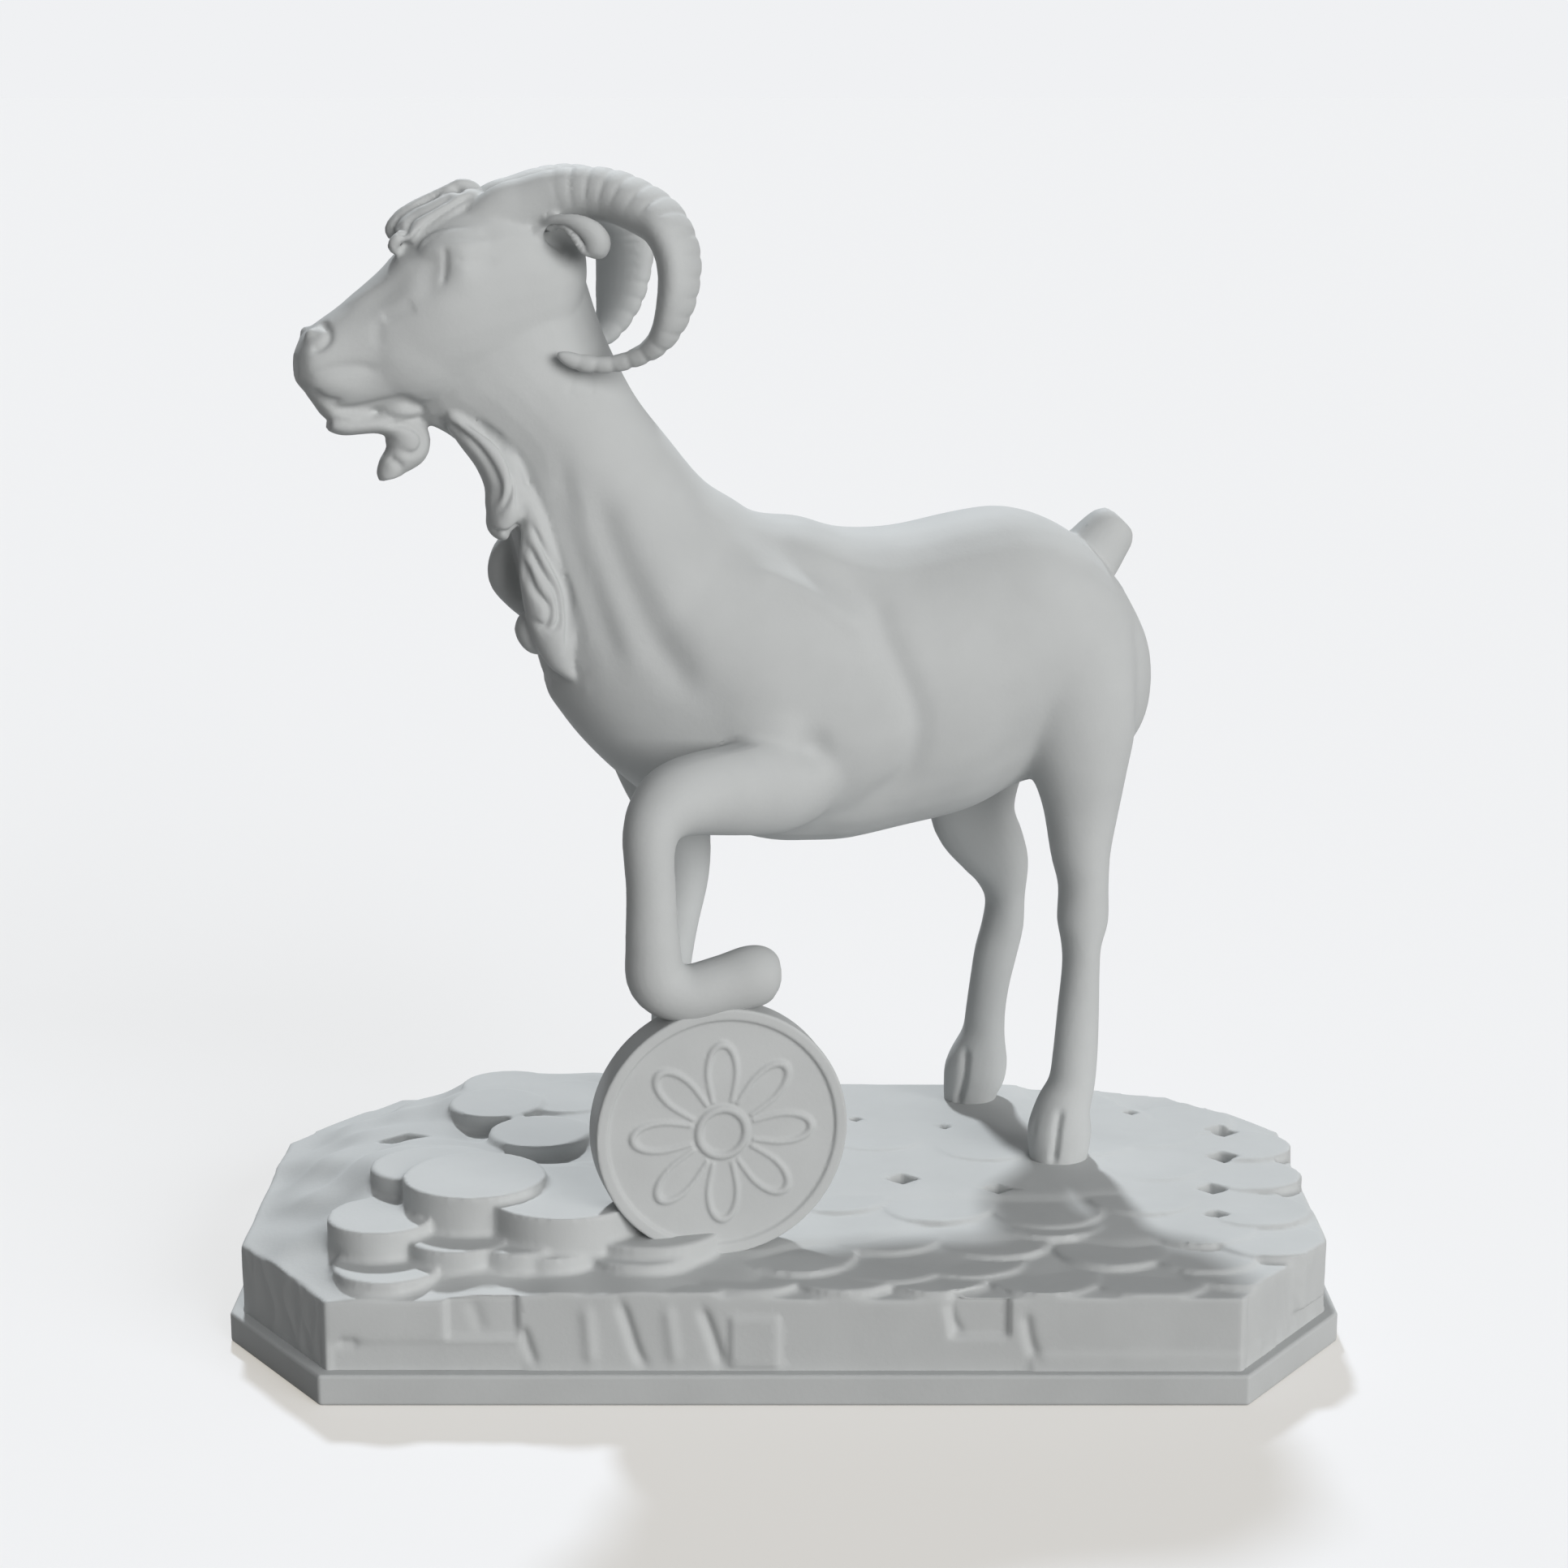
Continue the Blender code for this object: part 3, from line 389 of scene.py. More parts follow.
def goat_forms():
    """The goat's rounded forms, which still run through each other."""
    bm = bmesh.new()
    add_body_form(bm, TORSO, full=2.15)
    add_neck(bm)
    add_body_form(bm, HEAD, full=2.2)
    for leg in (NEAR_HIND_LEG, FAR_HIND_LEG, FAR_FORELEG):
        add_tube(bm, on_goat(leg))
    add_raised_leg(bm)
    for horn in (HORN, mirrored(HORN)):
        add_tube(bm, on_goat(horn), steps=5)
    for ear in (EAR, mirrored(EAR)):
        add_tube(bm, on_goat(ear))
    for lock in TAIL_AND_HAIR:
        add_tube(bm, on_goat(lock))
    for hand in (1, -1):
        add_blob(bm, 44.0, 8.5 * hand, 92.0, (15.0, 10.2, 13.0))
        add_blob(bm, 91.0, 2.8 * hand, 141.4, (10.0, 5.6, 7.6), -8)
        add_blob(bm, 86.0, 4.8 * hand, 155.0, (6.4, 4.0, 3.6), -6)
        add_blob(bm, 106.5, 2.1 * hand, 143.3, (1.4, 1.2, 1.2), 30)
    add_blob(bm, 43.0, 11.4, 85.6, (9.5, 8.2, 7.5))
    add_blob(bm, 94.4, 0.0, 132.8, (3.4, 4.0, 1.6))
    for vert in bm.verts:
        vert.co *= MM
    bmesh.ops.recalc_face_normals(bm, faces=bm.faces[:])
    return bm


def new_piece(name, bm):
    """An object at the origin from a finished bmesh."""
    mesh = bpy.data.meshes.new(name)
    bm.to_mesh(mesh)
    bm.free()
    piece = bpy.data.objects.new(name, mesh)
    bpy.context.scene.collection.objects.link(piece)
    return piece


def bake(piece):
    """Apply the piece's modifiers to its mesh."""
    depsgraph = bpy.context.evaluated_depsgraph_get()
    depsgraph.update()
    mesh = bpy.data.meshes.new_from_object(piece.evaluated_get(depsgraph))
    piece.modifiers.clear()
    piece.data = mesh


def skin_over(piece, voxel, rounds):
    """One closed skin over forms that run into each other."""
    remesh = piece.modifiers.new("skin", "REMESH")
    remesh.mode = "VOXEL"
    remesh.voxel_size = voxel * MM
    smooth = piece.modifiers.new("smooth", "SMOOTH")
    smooth.factor = 0.5
    smooth.iterations = rounds
    bake(piece)


def blend(piece, weights, rounds):
    """Let the creases between the body's forms run out softly, where the weights say so."""
    piece.vertex_groups.clear()
    group = piece.vertex_groups.new(name="blend")
    for step in range(1, BLEND_STEPS + 1):
        chosen = np.nonzero(np.round(weights * BLEND_STEPS) == step)[0]
        group.add([int(index) for index in chosen], step / BLEND_STEPS, "REPLACE")
    smooth = piece.modifiers.new("blend", "SMOOTH")
    smooth.factor = 0.5
    smooth.iterations = rounds
    smooth.vertex_group = "blend"
    bake(piece)


def body_weights(clay):
    """Nought on the head, the hair and the lower legs, and one on the body."""
    high = np.clip((clay.up - 62.0) / 8.0, 0, 1)
    front = np.clip((75.0 - clay.along) / 3.0, 0, 1)
    head = np.clip((clay.up - 130.0 - 0.9 * (76.0 - clay.along)) / 4.0, 0, 1)
    locks = (clay.along > 70.0) & (np.abs(clay.near) < 11.5)
    locks = locks & (clay.up < 122.0) & (clay.up > 92.0)
    tail = (clay.along < -7.0) & (clay.up > 103.0)
    return high * front * (1 - head) * (1 - locks) * (1 - tail)


def face_weights(clay):
    """One on the cheeks, and nought on the nape, the crown, the lips and the tip of the nose."""
    nape = np.clip((clay.along - 77.0) / 3.0, 0, 1)
    crown = np.clip((156.5 - clay.up) / 2.0, 0, 1)
    lips = np.clip((clay.up - 134.5) / 1.5, 0, 1)
    nose = np.clip((106.0 - clay.along) / 2.0, 0, 1)
    return nape * crown * lips * nose


def thin_out(piece, most):
    """Bring a piece down to so many triangles, and shade it smooth."""
    triangles = sum(len(face.vertices) - 2 for face in piece.data.polygons)
    decimate = piece.modifiers.new("fewer", "DECIMATE")
    decimate.ratio = min(1.0, most / triangles)
    bake(piece)
    for face in piece.data.polygons:
        face.use_smooth = True


class Clay:
    """The skin's points in the goat's own line, in millimetres, to be pushed and pulled."""

    def __init__(self, mesh, origin, axes):
        self.mesh = mesh
        count = len(mesh.vertices)
        places = np.empty(count * 3)
        mesh.vertices.foreach_get("co", places)
        self.places = places.reshape(-1, 3)
        self.axes = np.array([tuple(axis) for axis in axes])
        self.origin = np.array(tuple(origin))
        self.read()

    def read(self):
        """Take the points' places and the directions they face from the mesh as it is."""
        facing = np.empty(len(self.places) * 3)
        self.mesh.vertices.foreach_get("normal", facing)
        self.normals = facing.reshape(-1, 3)
        local = (self.places / MM - self.origin) @ self.axes.T
        self.along, self.near, self.up = local.T
        self.facing = self.normals @ self.axes.T

    def push(self, amounts):
        """Move each point along its normal by so many millimetres."""
        self.places += self.normals * amounts[:, None] * MM

    def write(self):
        """Put the places into the mesh, and read its new normals."""
        self.mesh.vertices.foreach_set("co", self.places.ravel())
        self.mesh.update()
        self.read()

    def distance(self, path):
        """How far each point lies from a path, as seen from the side, and how far along it."""
        u = self.along
        best = np.full(len(u), 1e9)
        share = np.zeros(len(u))
        run = 0.0
        for (u0, v0), (u1, v1) in zip(path, path[1:]):
            length = math.hypot(u1 - u0, v1 - v0) or 1e-6
            t = ((u - u0) * (u1 - u0) + (self.up - v0) * (v1 - v0)) / length ** 2
            t = np.clip(t, 0, 1)
            gap = np.hypot(u - u0 - t * (u1 - u0), self.up - v0 - t * (v1 - v0))
            closer = gap < best
            best = np.where(closer, gap, best)
            share = np.where(closer, run + t * length, share)
            run += length
        return best, share / run

    def stroke(self, path, width, depth, hands=(1, -1), least=0.0):
        """A groove (depth above nought) or ridge along a path seen from the side, faded at its ends."""
        gap, share = self.distance(curve_through(path, 4))
        shape = np.exp(-(gap / width) ** 2) * np.clip(np.minimum(share, 1 - share) * 6 + 0.25, 0, 1)
        for hand in hands:
            seen = np.clip((self.facing[:, 1] * hand - 0.1) / 0.25, 0, 1)
            seen = seen * (self.near * hand > least)
            self.push(-depth * shape * seen)

    def swell(self, along, up, sizes, height, hands=(1, -1), tilt=0.0):
        """A soft bump (or hollow) on the side."""
        lean = math.radians(tilt)
        x = self.along - along
        z = self.up - up
        u = x * math.cos(lean) + z * math.sin(lean)
        v = z * math.cos(lean) - x * math.sin(lean)
        shape = np.exp(-((u / sizes[0]) ** 2 + (v / sizes[1]) ** 2))
        for hand in hands:
            seen = np.clip((self.facing[:, 1] * hand - 0.05) / 0.3, 0, 1)
            seen = seen * (self.near * hand > 0)
            self.push(height * shape * seen)


def carve_face(clay):
    """Mouth, nostrils, cheeks, eyes, brows and the strands of beard and forelock."""
    mouth = [(108.8, 136.9), (107.4, 138.1), (104.6, 139.1), (101.4, 139.4), (98.4, 138.8)]
    nostril = [(105.6, 145.4), (104.8, 144.4), (105.0, 143.0), (106.2, 142.0), (107.4, 141.8)]
    clay.stroke(mouth, 0.8, 0.38)
    clay.stroke(nostril, 0.55, 0.6)
    clay.swell(103.4, 136.6, (3.6, 1.6), 0.35, tilt=10)
    clay.swell(91.2, 151.4, (1.8, 3.4), -0.6, tilt=20)
    clay.stroke([(97.7, 145.9), (95.4, 146.9), (93.3, 147.8)], 1.0, 0.35)
    clay.stroke([(98.1, 145.6), (98.4, 142.3)], 0.9, 0.2)
    clay.stroke([(102.9, 148.0), (97, 150.5), (93.5, 154.4)], 0.9, -0.25)
    clay.swell(97.5, 148.8, (4.2, 1.6), -0.5, tilt=-36)
    clay.stroke([(89.0, 155.6), (88.9, 154.0), (89.1, 152.2), (89.6, 150.6)], 0.45, 0.4)
    clay.stroke([(87.8, 153.9), (85.0, 153.5), (81.7, 153.7)], 0.6, 0.18)
    clay.swell(86.6, 153.0, (2.0, 2.8), 0.8, tilt=10)
    brow = [(94.0, 154.6), (91.7, 156.2), (88.9, 156.9), (85.5, 157.2), (81.5, 157.3)]
    jaw = [(105.6, 132.9), (101.2, 133.3), (96.7, 134.3), (94.4, 134.5), (92.1, 133.1)]
    clay.stroke(brow, 0.8, 0.3)
    clay.stroke(jaw, 0.7, 0.4)
    clay.swell(72.2, 156.0, (3.0, 2.4), -1.3, tilt=30)
    clay.stroke([(107.3, 136.1), (105.8, 135.0), (104.6, 134.6), (103.4, 134.4)], 0.6, 0.4)
    curl = [(97.0, 131.0), (94.0, 130.8), (91.9, 129.4), (91.8, 127.6), (93.2, 126.6), (95.0, 127.2)]
    clay.stroke(curl, 0.5, 0.5)
    clay.stroke([(96.4, 126.2), (95.4, 125.4), (94.6, 124.6)], 0.5, 0.4)
    for lock in (
        [(94.0, 156.3), (92.6, 159.3), (89.8, 160.9), (86.3, 162.7)],
        [(92.3, 156.6), (90.5, 158.6), (87.7, 160.5), (83.9, 162.5)],
        [(94.8, 158.3), (93.5, 160.7), (90.1, 161.9), (87.7, 163.3)],
    ):
        clay.stroke(lock, 0.42, 0.6)
    clay.swell(85.6, 163.4, (0.7, 0.5), -0.6)
    clay.swell(94.0, 157.6, (0.7, 0.7), -0.6)


def carve_coat(clay):
    """Strands of the mane, folds of the neck and belly, muscles, and the split of the hooves."""
    for lock in (
        [(89.8, 131.6), (86.1, 129.0), (83.7, 126.1), (82.2, 122.5), (82.8, 119.4)],
        [(86.6, 131.7), (82.1, 129.2), (80.1, 125.4), (80.5, 121.6), (82.3, 118.5)],
        [(84.6, 131.2), (80.9, 127.6), (79.2, 123.0), (79.6, 119.0)],
        [(78.6, 114.1), (76.7, 110.6), (74.2, 106.9), (74.2, 102.9), (76.4, 101.5)],
        [(79.2, 111.7), (77.7, 107.6), (75.7, 105.0), (76.3, 102.5), (77.8, 103.1)],
        [(77.8, 116.7), (75.3, 112.6), (72.9, 107.5), (72.6, 102.4), (73.2, 98.4)],
    ):
        clay.stroke(lock, 0.55, 0.7)
    clay.stroke([(83.4, 115.8), (80.6, 115.6), (78.8, 116.8)], 0.5, 0.5)
    clay.stroke([(77.3, 120.9), (76.9, 110.4), (73.5, 103.3)], 1.6, 0.35, hands=(1,))
    clay.stroke([(68.8, 121), (66, 111.7), (61.4, 101), (55.4, 92.3)], 2.6, 0.9)
    clay.stroke([(73.6, 126.7), (72.5, 117.5), (69.2, 105.7), (66, 96)], 1.8, 0.55)
    clay.swell(44.0, 98.0, (14.0, 15.0), 1.2, tilt=-20)
    clay.swell(35.0, 82.0, (8.0, 7.0), 1.0)
    clay.swell(57.0, 104.0, (6.0, 12.0), 0.8, tilt=-25)
    clay.swell(-4.0, 96.0, (12.0, 14.0), 0.9)
    clay.swell(13.0, 84.0, (9.0, 10.0), 0.4)
    shoulder = [
        (46.4, 114.5), (38.6, 110), (29.5, 104.7), (27.6, 99.1), (25.1, 93.5), (23, 87.8), (23, 82.3),
        (24.3, 78.7), (28.1, 75.2), (33.8, 71.5),
    ]
    clay.stroke(shoulder, 2.4, 0.9)
    clay.swell(39.0, 84.2, (3.2, 2.4), -1.5, hands=(1,), tilt=50)
    clay.stroke([(31, 100.5), (36.5, 104.5), (42, 107.6), (47, 109.4)], 1.4, -0.35)
    clay.stroke([(-14.1, 98.8), (-14.4, 91.8), (-14.1, 86.8), (-13.7, 82.6)], 1.6, 0.5)
    clay.swell(8.4, 81.0, (6.0, 2.2), -0.5, tilt=-58)
    clay.stroke([(-0.6, 25.4), (0, 22.4), (0.5, 17)], 0.5, 0.8, hands=(1,), least=8)
    clay.stroke([(2.9, 26.0), (3.5, 21.5), (4.4, 16.8)], 0.5, 0.9, hands=(1,), least=-100)
    clay.stroke([(76, 159), (73.5, 157.1), (70.5, 155.4)], 0.7, 0.5)


def ridge_horns(clay):
    """Rings round each horn, strongest on its outer edge."""
    points = clay.places / MM
    for hand in (1, -1):
        path = np.array([
            tuple(goat_place(row[0], hand * row[1], row[2])) for row in curve_through(HORN, 6)
        ])
        best = np.full(len(points), 1e9)
        run_at = np.zeros(len(points))
        run = 0.0
        for a, b in zip(path, path[1:]):
            step = b - a
            length = np.linalg.norm(step)
            t = np.clip(((points - a) @ step) / length ** 2, 0, 1)
            gap = np.linalg.norm(points - a - t[:, None] * step, axis=1)
            closer = gap < best
            best = np.where(closer, gap, best)
            run_at = np.where(closer, run + t * length, run_at)
            run += length
        on_horn = (best < 5.0) & (clay.along < 79.0) & (clay.near * hand > 1.0)
        start = np.clip((run_at - 11.0) / 3.0, 0, 1)
        end = np.clip((run - run_at) / 5.0, 0, 1)
        phase = np.abs((run_at / HORN_RING_PITCH) % 1.0 - 0.5) * 2
        ring = 0.5 - 1.5 * np.exp(-((1 - phase) / 0.34) ** 2)
        outward = (clay.along - 68.0) ** 2 + (clay.up - 151.0) ** 2
        reach = np.clip((np.sqrt(outward) - 9.4) / 3.0, 0.12, 1)
        clay.push(0.13 * ring * reach * on_horn * start * end)


def goat_clay(goat):
    return Clay(goat.data, GOAT_PLACE, (FORWARD, NEAR, UP))


def make_goat():
    goat = new_piece("goat", goat_forms())
    skin_over(goat, GOAT_VOXEL, 4)
    blend(goat, body_weights(goat_clay(goat)), BODY_ROUNDS)
    blend(goat, face_weights(goat_clay(goat)), FACE_ROUNDS)
    clay = goat_clay(goat)
    carve_face(clay)
    carve_coat(clay)
    ridge_horns(clay)
    clay.write()
    thin_out(goat, GOAT_TRIANGLES)
    return goat


def make_plate():
    """The foot of the plinth: a slab a little too large, cut to its eight sides and softened."""
    bm = bmesh.new()
    made = bmesh.ops.create_cube(bm, size=1.0)
    for vert in made["verts"]:
        vert.co.x *= 2.1 * HALF_LENGTH
        vert.co.y *= 2.1 * HALF_DEPTH
        vert.co.z = PLATE_TOP if vert.co.z > 0 else 0
    cut_sides(bm, 0.0)
    bmesh.ops.bevel(
        bm, geom=bm.edges[:], offset=PLATE_BEVEL, segments=4, profile=0.5, affect="EDGES", material=-1
    )
    for vert in bm.verts:
        vert.co *= MM
    bmesh.ops.recalc_face_normals(bm, faces=bm.faces[:])
    return new_piece("plate", bm)


# Coins that lie in the heap on the left: (x, y, top, radius, height of the ground in front)
HEAP_COINS = (
    (-57.0, -28.6, 21.3, 7.7, 17.0), (-44.3, -22.6, 25.2, 10.3, 18.6),
    (-52.6, -15.4, 24.2, 7.6, 20.6), (-45.7, -31.3, 19.5, 7.6, 15.6),
    (-37.0, -31.2, 19.2, 7.6, 15.6), (-30.9, -26.0, 23.8, 11.5, 18.4),
    (-18.7, -27.5, 19.6, 10.2, 16.6), (-32.3, -31.4, 18.4, 7.4, 15.2),
    (-19.9, -31.0, 17.8, 8.6, 15.6), (-55.3, -36.0, 16.9, 7.8, 14.3), (-37.2, 6.0, 22.0, 7.8, 18.8),
    (-45.1, 19.7, 22.0, 7.4, 17.6), (-44.3, 31.0, 21.4, 7.2, 20.6), (-34.0, 24.0, 21.6, 8.0, 21.0),
)

# Coins of the level part, each tipped up at its front edge: (x, y, top)
LEVEL_COINS = (
    (14.2, 19.0, 17.3), (31.4, 14.4, 17.3), (47.0, 17.0, 17.1), (-1.5, 16.0, 17.3),
    (7.6, -8.0, 17.1), (22.6, -11.8, 17.0), (-7.5, -5.5, 17.2), (38.6, -13.5, 16.9),
    (53.0, -8.0, 16.9), (38.6, -17.0, 16.6), (30.2, -24.0, 16.3), (46.6, -27.2, 16.1),
    (14.6, -22.5, 16.4), (60.0, -20.0, 16.6), (21.0, -36.4, 15.8), (36.0, -36.8, 15.7),
    (51.0, -37.4, 15.6), (-4.6, -36.4, 16.0), (8.4, -36.6, 16.1), (2.0, -31.0, 16.6),
    (14.6, -33.0, 16.1), (63.0, -33.6, 15.7), (26.0, -31.0, 16.0), (59.5, -29.0, 16.1),
    (-12.5, -37.0, 15.8), (56.0, 6.0, 17.0), (57.0, 21.0, 17.0), (46.0, 36.0, 16.6),
    (63.2, 28.2, 16.7), (70.9, 15.6, 16.9), (70.4, 2.1, 16.9), (69.2, -12.6, 16.7),
    (69.6, -24.4, 16.5),
)

# The lie of the ground between the coins: (x, y, height)
LIE_OF_GROUND = (
    (-64, -43, 14.3), (-48, -43, 14.3), (-36, -43, 14.4), (-26, -43, 14.5), (-12, -44, 14.7),
    (8, -44, 14.8), (30, -44, 14.9), (52, -44, 15.0), (66, -41, 15.0), (-70, -36, 14.3),
    (-77, -26, 14.2), (-78, -16, 14.3), (-78, -6, 14.4), (-78, 4, 14.4), (-78, 14, 14.3),
    (-76, 23, 14.2), (-70, 33, 14.6), (-64, 42, 14.2), (-56, 45, 14.3), (-48, 45, 15.4),
    (-38, 45, 16.6), (-20, 44, 16.9), (0, 44, 17.0), (28, 44, 16.9), (50, 44, 16.0), (57, 44, 15.2),
    (62, 43, 14.5), (67, 37, 15.2), (71, 31, 16.0), (75, 25, 16.2), (-72, -20, 16.2),
    (-67, -24, 17.2), (-66, -32, 16.0), (-66, -14, 19.4), (-71, -6, 17.2), (-60, -8, 22.4),
    (-66, 2, 19.8), (-72, 10, 17.0), (-62, 12, 19.6), (-66, 22, 17.4), (-57, 22, 19.2),
    (-56, 34, 17.6), (-52, 1, 21.8), (-53, 10, 20.4), (-44, -9, 23.6), (-36, -10, 22.8),
    (-28, -14, 23.4), (-20, -15, 21.4), (-12, -18, 18.8), (-8, -26, 17.4), (-44, 2, 21.2),
    (-36, -4, 20.6), (-28, -2, 21.0), (-26, 8, 21.6), (-28, 18, 21.6), (-26, 28, 20.8),
    (-36, 34, 21.2), (-35.5, 20.5, 21.8), (-28, 10, 21.8), (-36, 27, 21.6), (-20, 2, 19.6),
    (-16, 16, 18.6), (-14, 30, 17.6), (-12, 4, 17.8), (-12, -8, 18.2), (-3, -14, 17.0),
    (-4, 4, 17.1), (-4, 28, 17.0), (-2, -22, 16.9), (10, 2, 17.0), (30, 2, 16.9), (46, 3, 16.9),
    (10, 28, 17.0), (34, 28, 17.0), (50, 30, 16.6), (10, -19, 16.5), (30, -20, 16.3),
    (50, -18, 16.3), (62, -6, 16.7), (63, 9, 16.8), (64, 20, 16.7), (4, -36, 15.2), (20, -30, 15.8),
    (34, -31, 15.5), (42, -35, 15.2), (56, -33, 15.4), (-10, -31, 16.2), (76.5, 9, 15.2),
    (76.5, -5, 15.2), (76, -18, 15.6), (76, 21, 15.4), (68, 26, 15.8), (74, -30, 15.2),
    (62, -14, 16.5), (70, 9, 16.5), (69, -5, 16.4), (69, -18, 16.2), (66, -36, 15.0),
)

# Little pits where coins leave a gap: (x, y, half length, half breadth, depth)
PITS = (
    (17.8, -1.6, 2.8, 2.4, 2.4), (31.8, -5.6, 2.5, 2.1, 2.2), (11.4, 26.2, 1.3, 1.2, 1.2),
    (25.4, 22.4, 1.1, 1.1, 1.2), (55.6, 31.0, 1.6, 1.4, 1.2), (69.0, 22.4, 3.0, 2.8, 2.0),
    (67.4, 9.2, 2.8, 2.6, 2.0), (63.8, -5.0, 2.6, 2.4, 1.8), (63.2, -15.4, 2.3, 1.9, 1.5),
    (-58.2, 7.6, 4.4, 3.2, 2.2),
)

# Panels of the front face: (left, right, bottom, top, depth, softness of its edge)
FRONT_PANELS = (
    (-46.4, -36.6, 9.2, 16.0, 0.7, 0.6), (22.9, 31.0, 9.4, 16.0, 0.8, 0.6),
    (-7.4, -0.6, 5.0, 12.4, -0.45, 0.6), (34.0, 80.0, 4.0, 7.0, -0.3, 0.8),
    (-62.5, -35.5, 4.0, 8.6, 0.3, 1.2),
)

# Grooves of the front face: (path across and up, width, depth)
FRONT_GROOVES = (
    ([(-36.2, 11.0), (-35.4, 8.6), (-34.4, 5.2)], 0.7, 0.6),
    ([(-22.6, 14.8), (-21.4, 11.0), (-20.2, 7.0), (-19.0, 5.0)], 0.7, 0.7),
    ([(-27.2, 14.0), (-26.8, 9.0), (-26.6, 5.4)], 0.9, -0.4),
    ([(-16.0, 14.0), (-15.4, 9.0), (-15.0, 5.4)], 0.9, -0.35),
    ([(-11.4, 13.8), (-10.0, 10.0), (-8.6, 5.2)], 0.7, 0.7),
    ([(-43.0, 14.6), (-41.6, 10.0)], 1.0, 0.3),
    ([(22.4, 14.6), (23.2, 11.6), (24.4, 9.6)], 0.6, 0.5),
    ([(33.2, 12.8), (33.8, 9.0), (34.8, 6.0)], 0.7, 0.6),
    ([(-61.6, 8.6), (-58.6, 8.4)], 0.8, 0.5),
)


def ground_points():
    """Heights of the ground: the given ones, and those that make it meet the back of each coin."""
    points = list(LIE_OF_GROUND)
    for x, y, top, radius, foot in HEAP_COINS:
        points += [(x, y + 0.25 * radius, top), (x, y + 0.85 * radius, top - 0.15)]
        points += [(x + side * 0.6 * radius, y + 0.45 * radius, top - 0.1) for side in (-1, 1)]
        points += [(x, y - 1.3 * radius, foot), (x + 0.75 * radius, y - 1.05 * radius, foot)]
    return np.array(points)


GROUND_POINTS = ground_points()


def ground_height(x, y):
    """The mean of the given heights, each with a pull that fades with its distance."""
    gap = (GROUND_POINTS[:, 0] - x) ** 2 + (GROUND_POINTS[:, 1] - y) ** 2
    pull = np.exp(-gap / GROUND_PULL) + 1e-9
    return float((pull * GROUND_POINTS[:, 2]).sum() / pull.sum())


def cut_sides(bm, inset, solid=True):
    """Trim what reaches past the plinth's eight sides, set in by so much."""
    sides = [(Vector((sx, 0, 0)), Vector((sx * HALF_LENGTH, 0, 0))) for sx in (-1, 1)]
    sides += [(Vector((0, sy, 0)), Vector((0, sy * HALF_DEPTH, 0))) for sy in (-1, 1)]
    for sx in (-1, 1):
        for sy in (-1, 1):
            normal = Vector((sx * CORNER_Y, sy * CORNER_X, 0)).normalized()
            sides.append((normal, Vector((sx * HALF_LENGTH, sy * (HALF_DEPTH - CORNER_Y), 0))))
    for normal, place in sides:
        geometry = bm.verts[:] + bm.edges[:] + bm.faces[:]
        cut = bmesh.ops.bisect_plane(
            bm, geom=geometry, plane_co=place - normal * inset, plane_no=normal, clear_outer=True
        )
        edges = [item for item in cut["geom_cut"] if isinstance(item, bmesh.types.BMEdge)]
        if solid and edges:
            bmesh.ops.edgenet_fill(bm, edges=edges)


def add_whole(bm, part):
    """Put a form that was made on its own into the piece."""
    mesh = bpy.data.meshes.new("form")
    part.to_mesh(mesh)
    part.free()
    bm.from_mesh(mesh)


def add_ground(bm):
    """The block of the plinth, with the uneven ground on top."""
    ground = bmesh.new()
    across, deep = GROUND_CELLS
    bmesh.ops.create_grid(ground, x_segments=across, y_segments=deep, size=1.0)
    for vert in ground.verts:
        vert.co = Vector((vert.co.x * (HALF_LENGTH - 1), vert.co.y * (HALF_DEPTH - 1), 0))
    cut_sides(ground, BLOCK_INSET, solid=False)
    base = bmesh.ops.extrude_face_region(ground, geom=ground.faces[:])
    raised = [item for item in base["geom"] if isinstance(item, bmesh.types.BMVert)]
    low = set(ground.verts) - set(raised)
    for vert in raised:
        vert.co.z = ground_height(vert.co.x, vert.co.y)
    for vert in low:
        vert.co.z = BLOCK_FOOT
    add_whole(bm, ground)


def add_disc(bm, x, y, top, radius, tilt, reach=0.0):
    """A coin with its front edge tipped up by so many degrees, drawn down into the block."""
    disc = bmesh.new()
    made = bmesh.ops.create_cone(
        disc, cap_ends=True, segments=64, radius1=radius, radius2=radius, depth=2.0
    )
    lean = math.tan(math.radians(tilt))
    for vert in made["verts"]:
        height = top - lean * vert.co.y if vert.co.z > 0 else COIN_FOOT
        vert.co = Vector((vert.co.x + x, vert.co.y + y, height))
    cut_sides(disc, COIN_INSET - reach)
    add_whole(bm, disc)


def dig_pits(clay):
    """Lozenge-shaped pits with sloping walls."""
    upward = clay.normals[:, 2] > 0.3
    for x, y, length, breadth, depth in PITS:
        reach = np.abs(clay.along - x) / length + np.abs(clay.near - y) / breadth
        shape = np.clip((1.0 - reach) / 0.45, 0, 1)
        clay.places[:, 2] -= depth * MM * shape * shape * (3 - 2 * shape) * upward


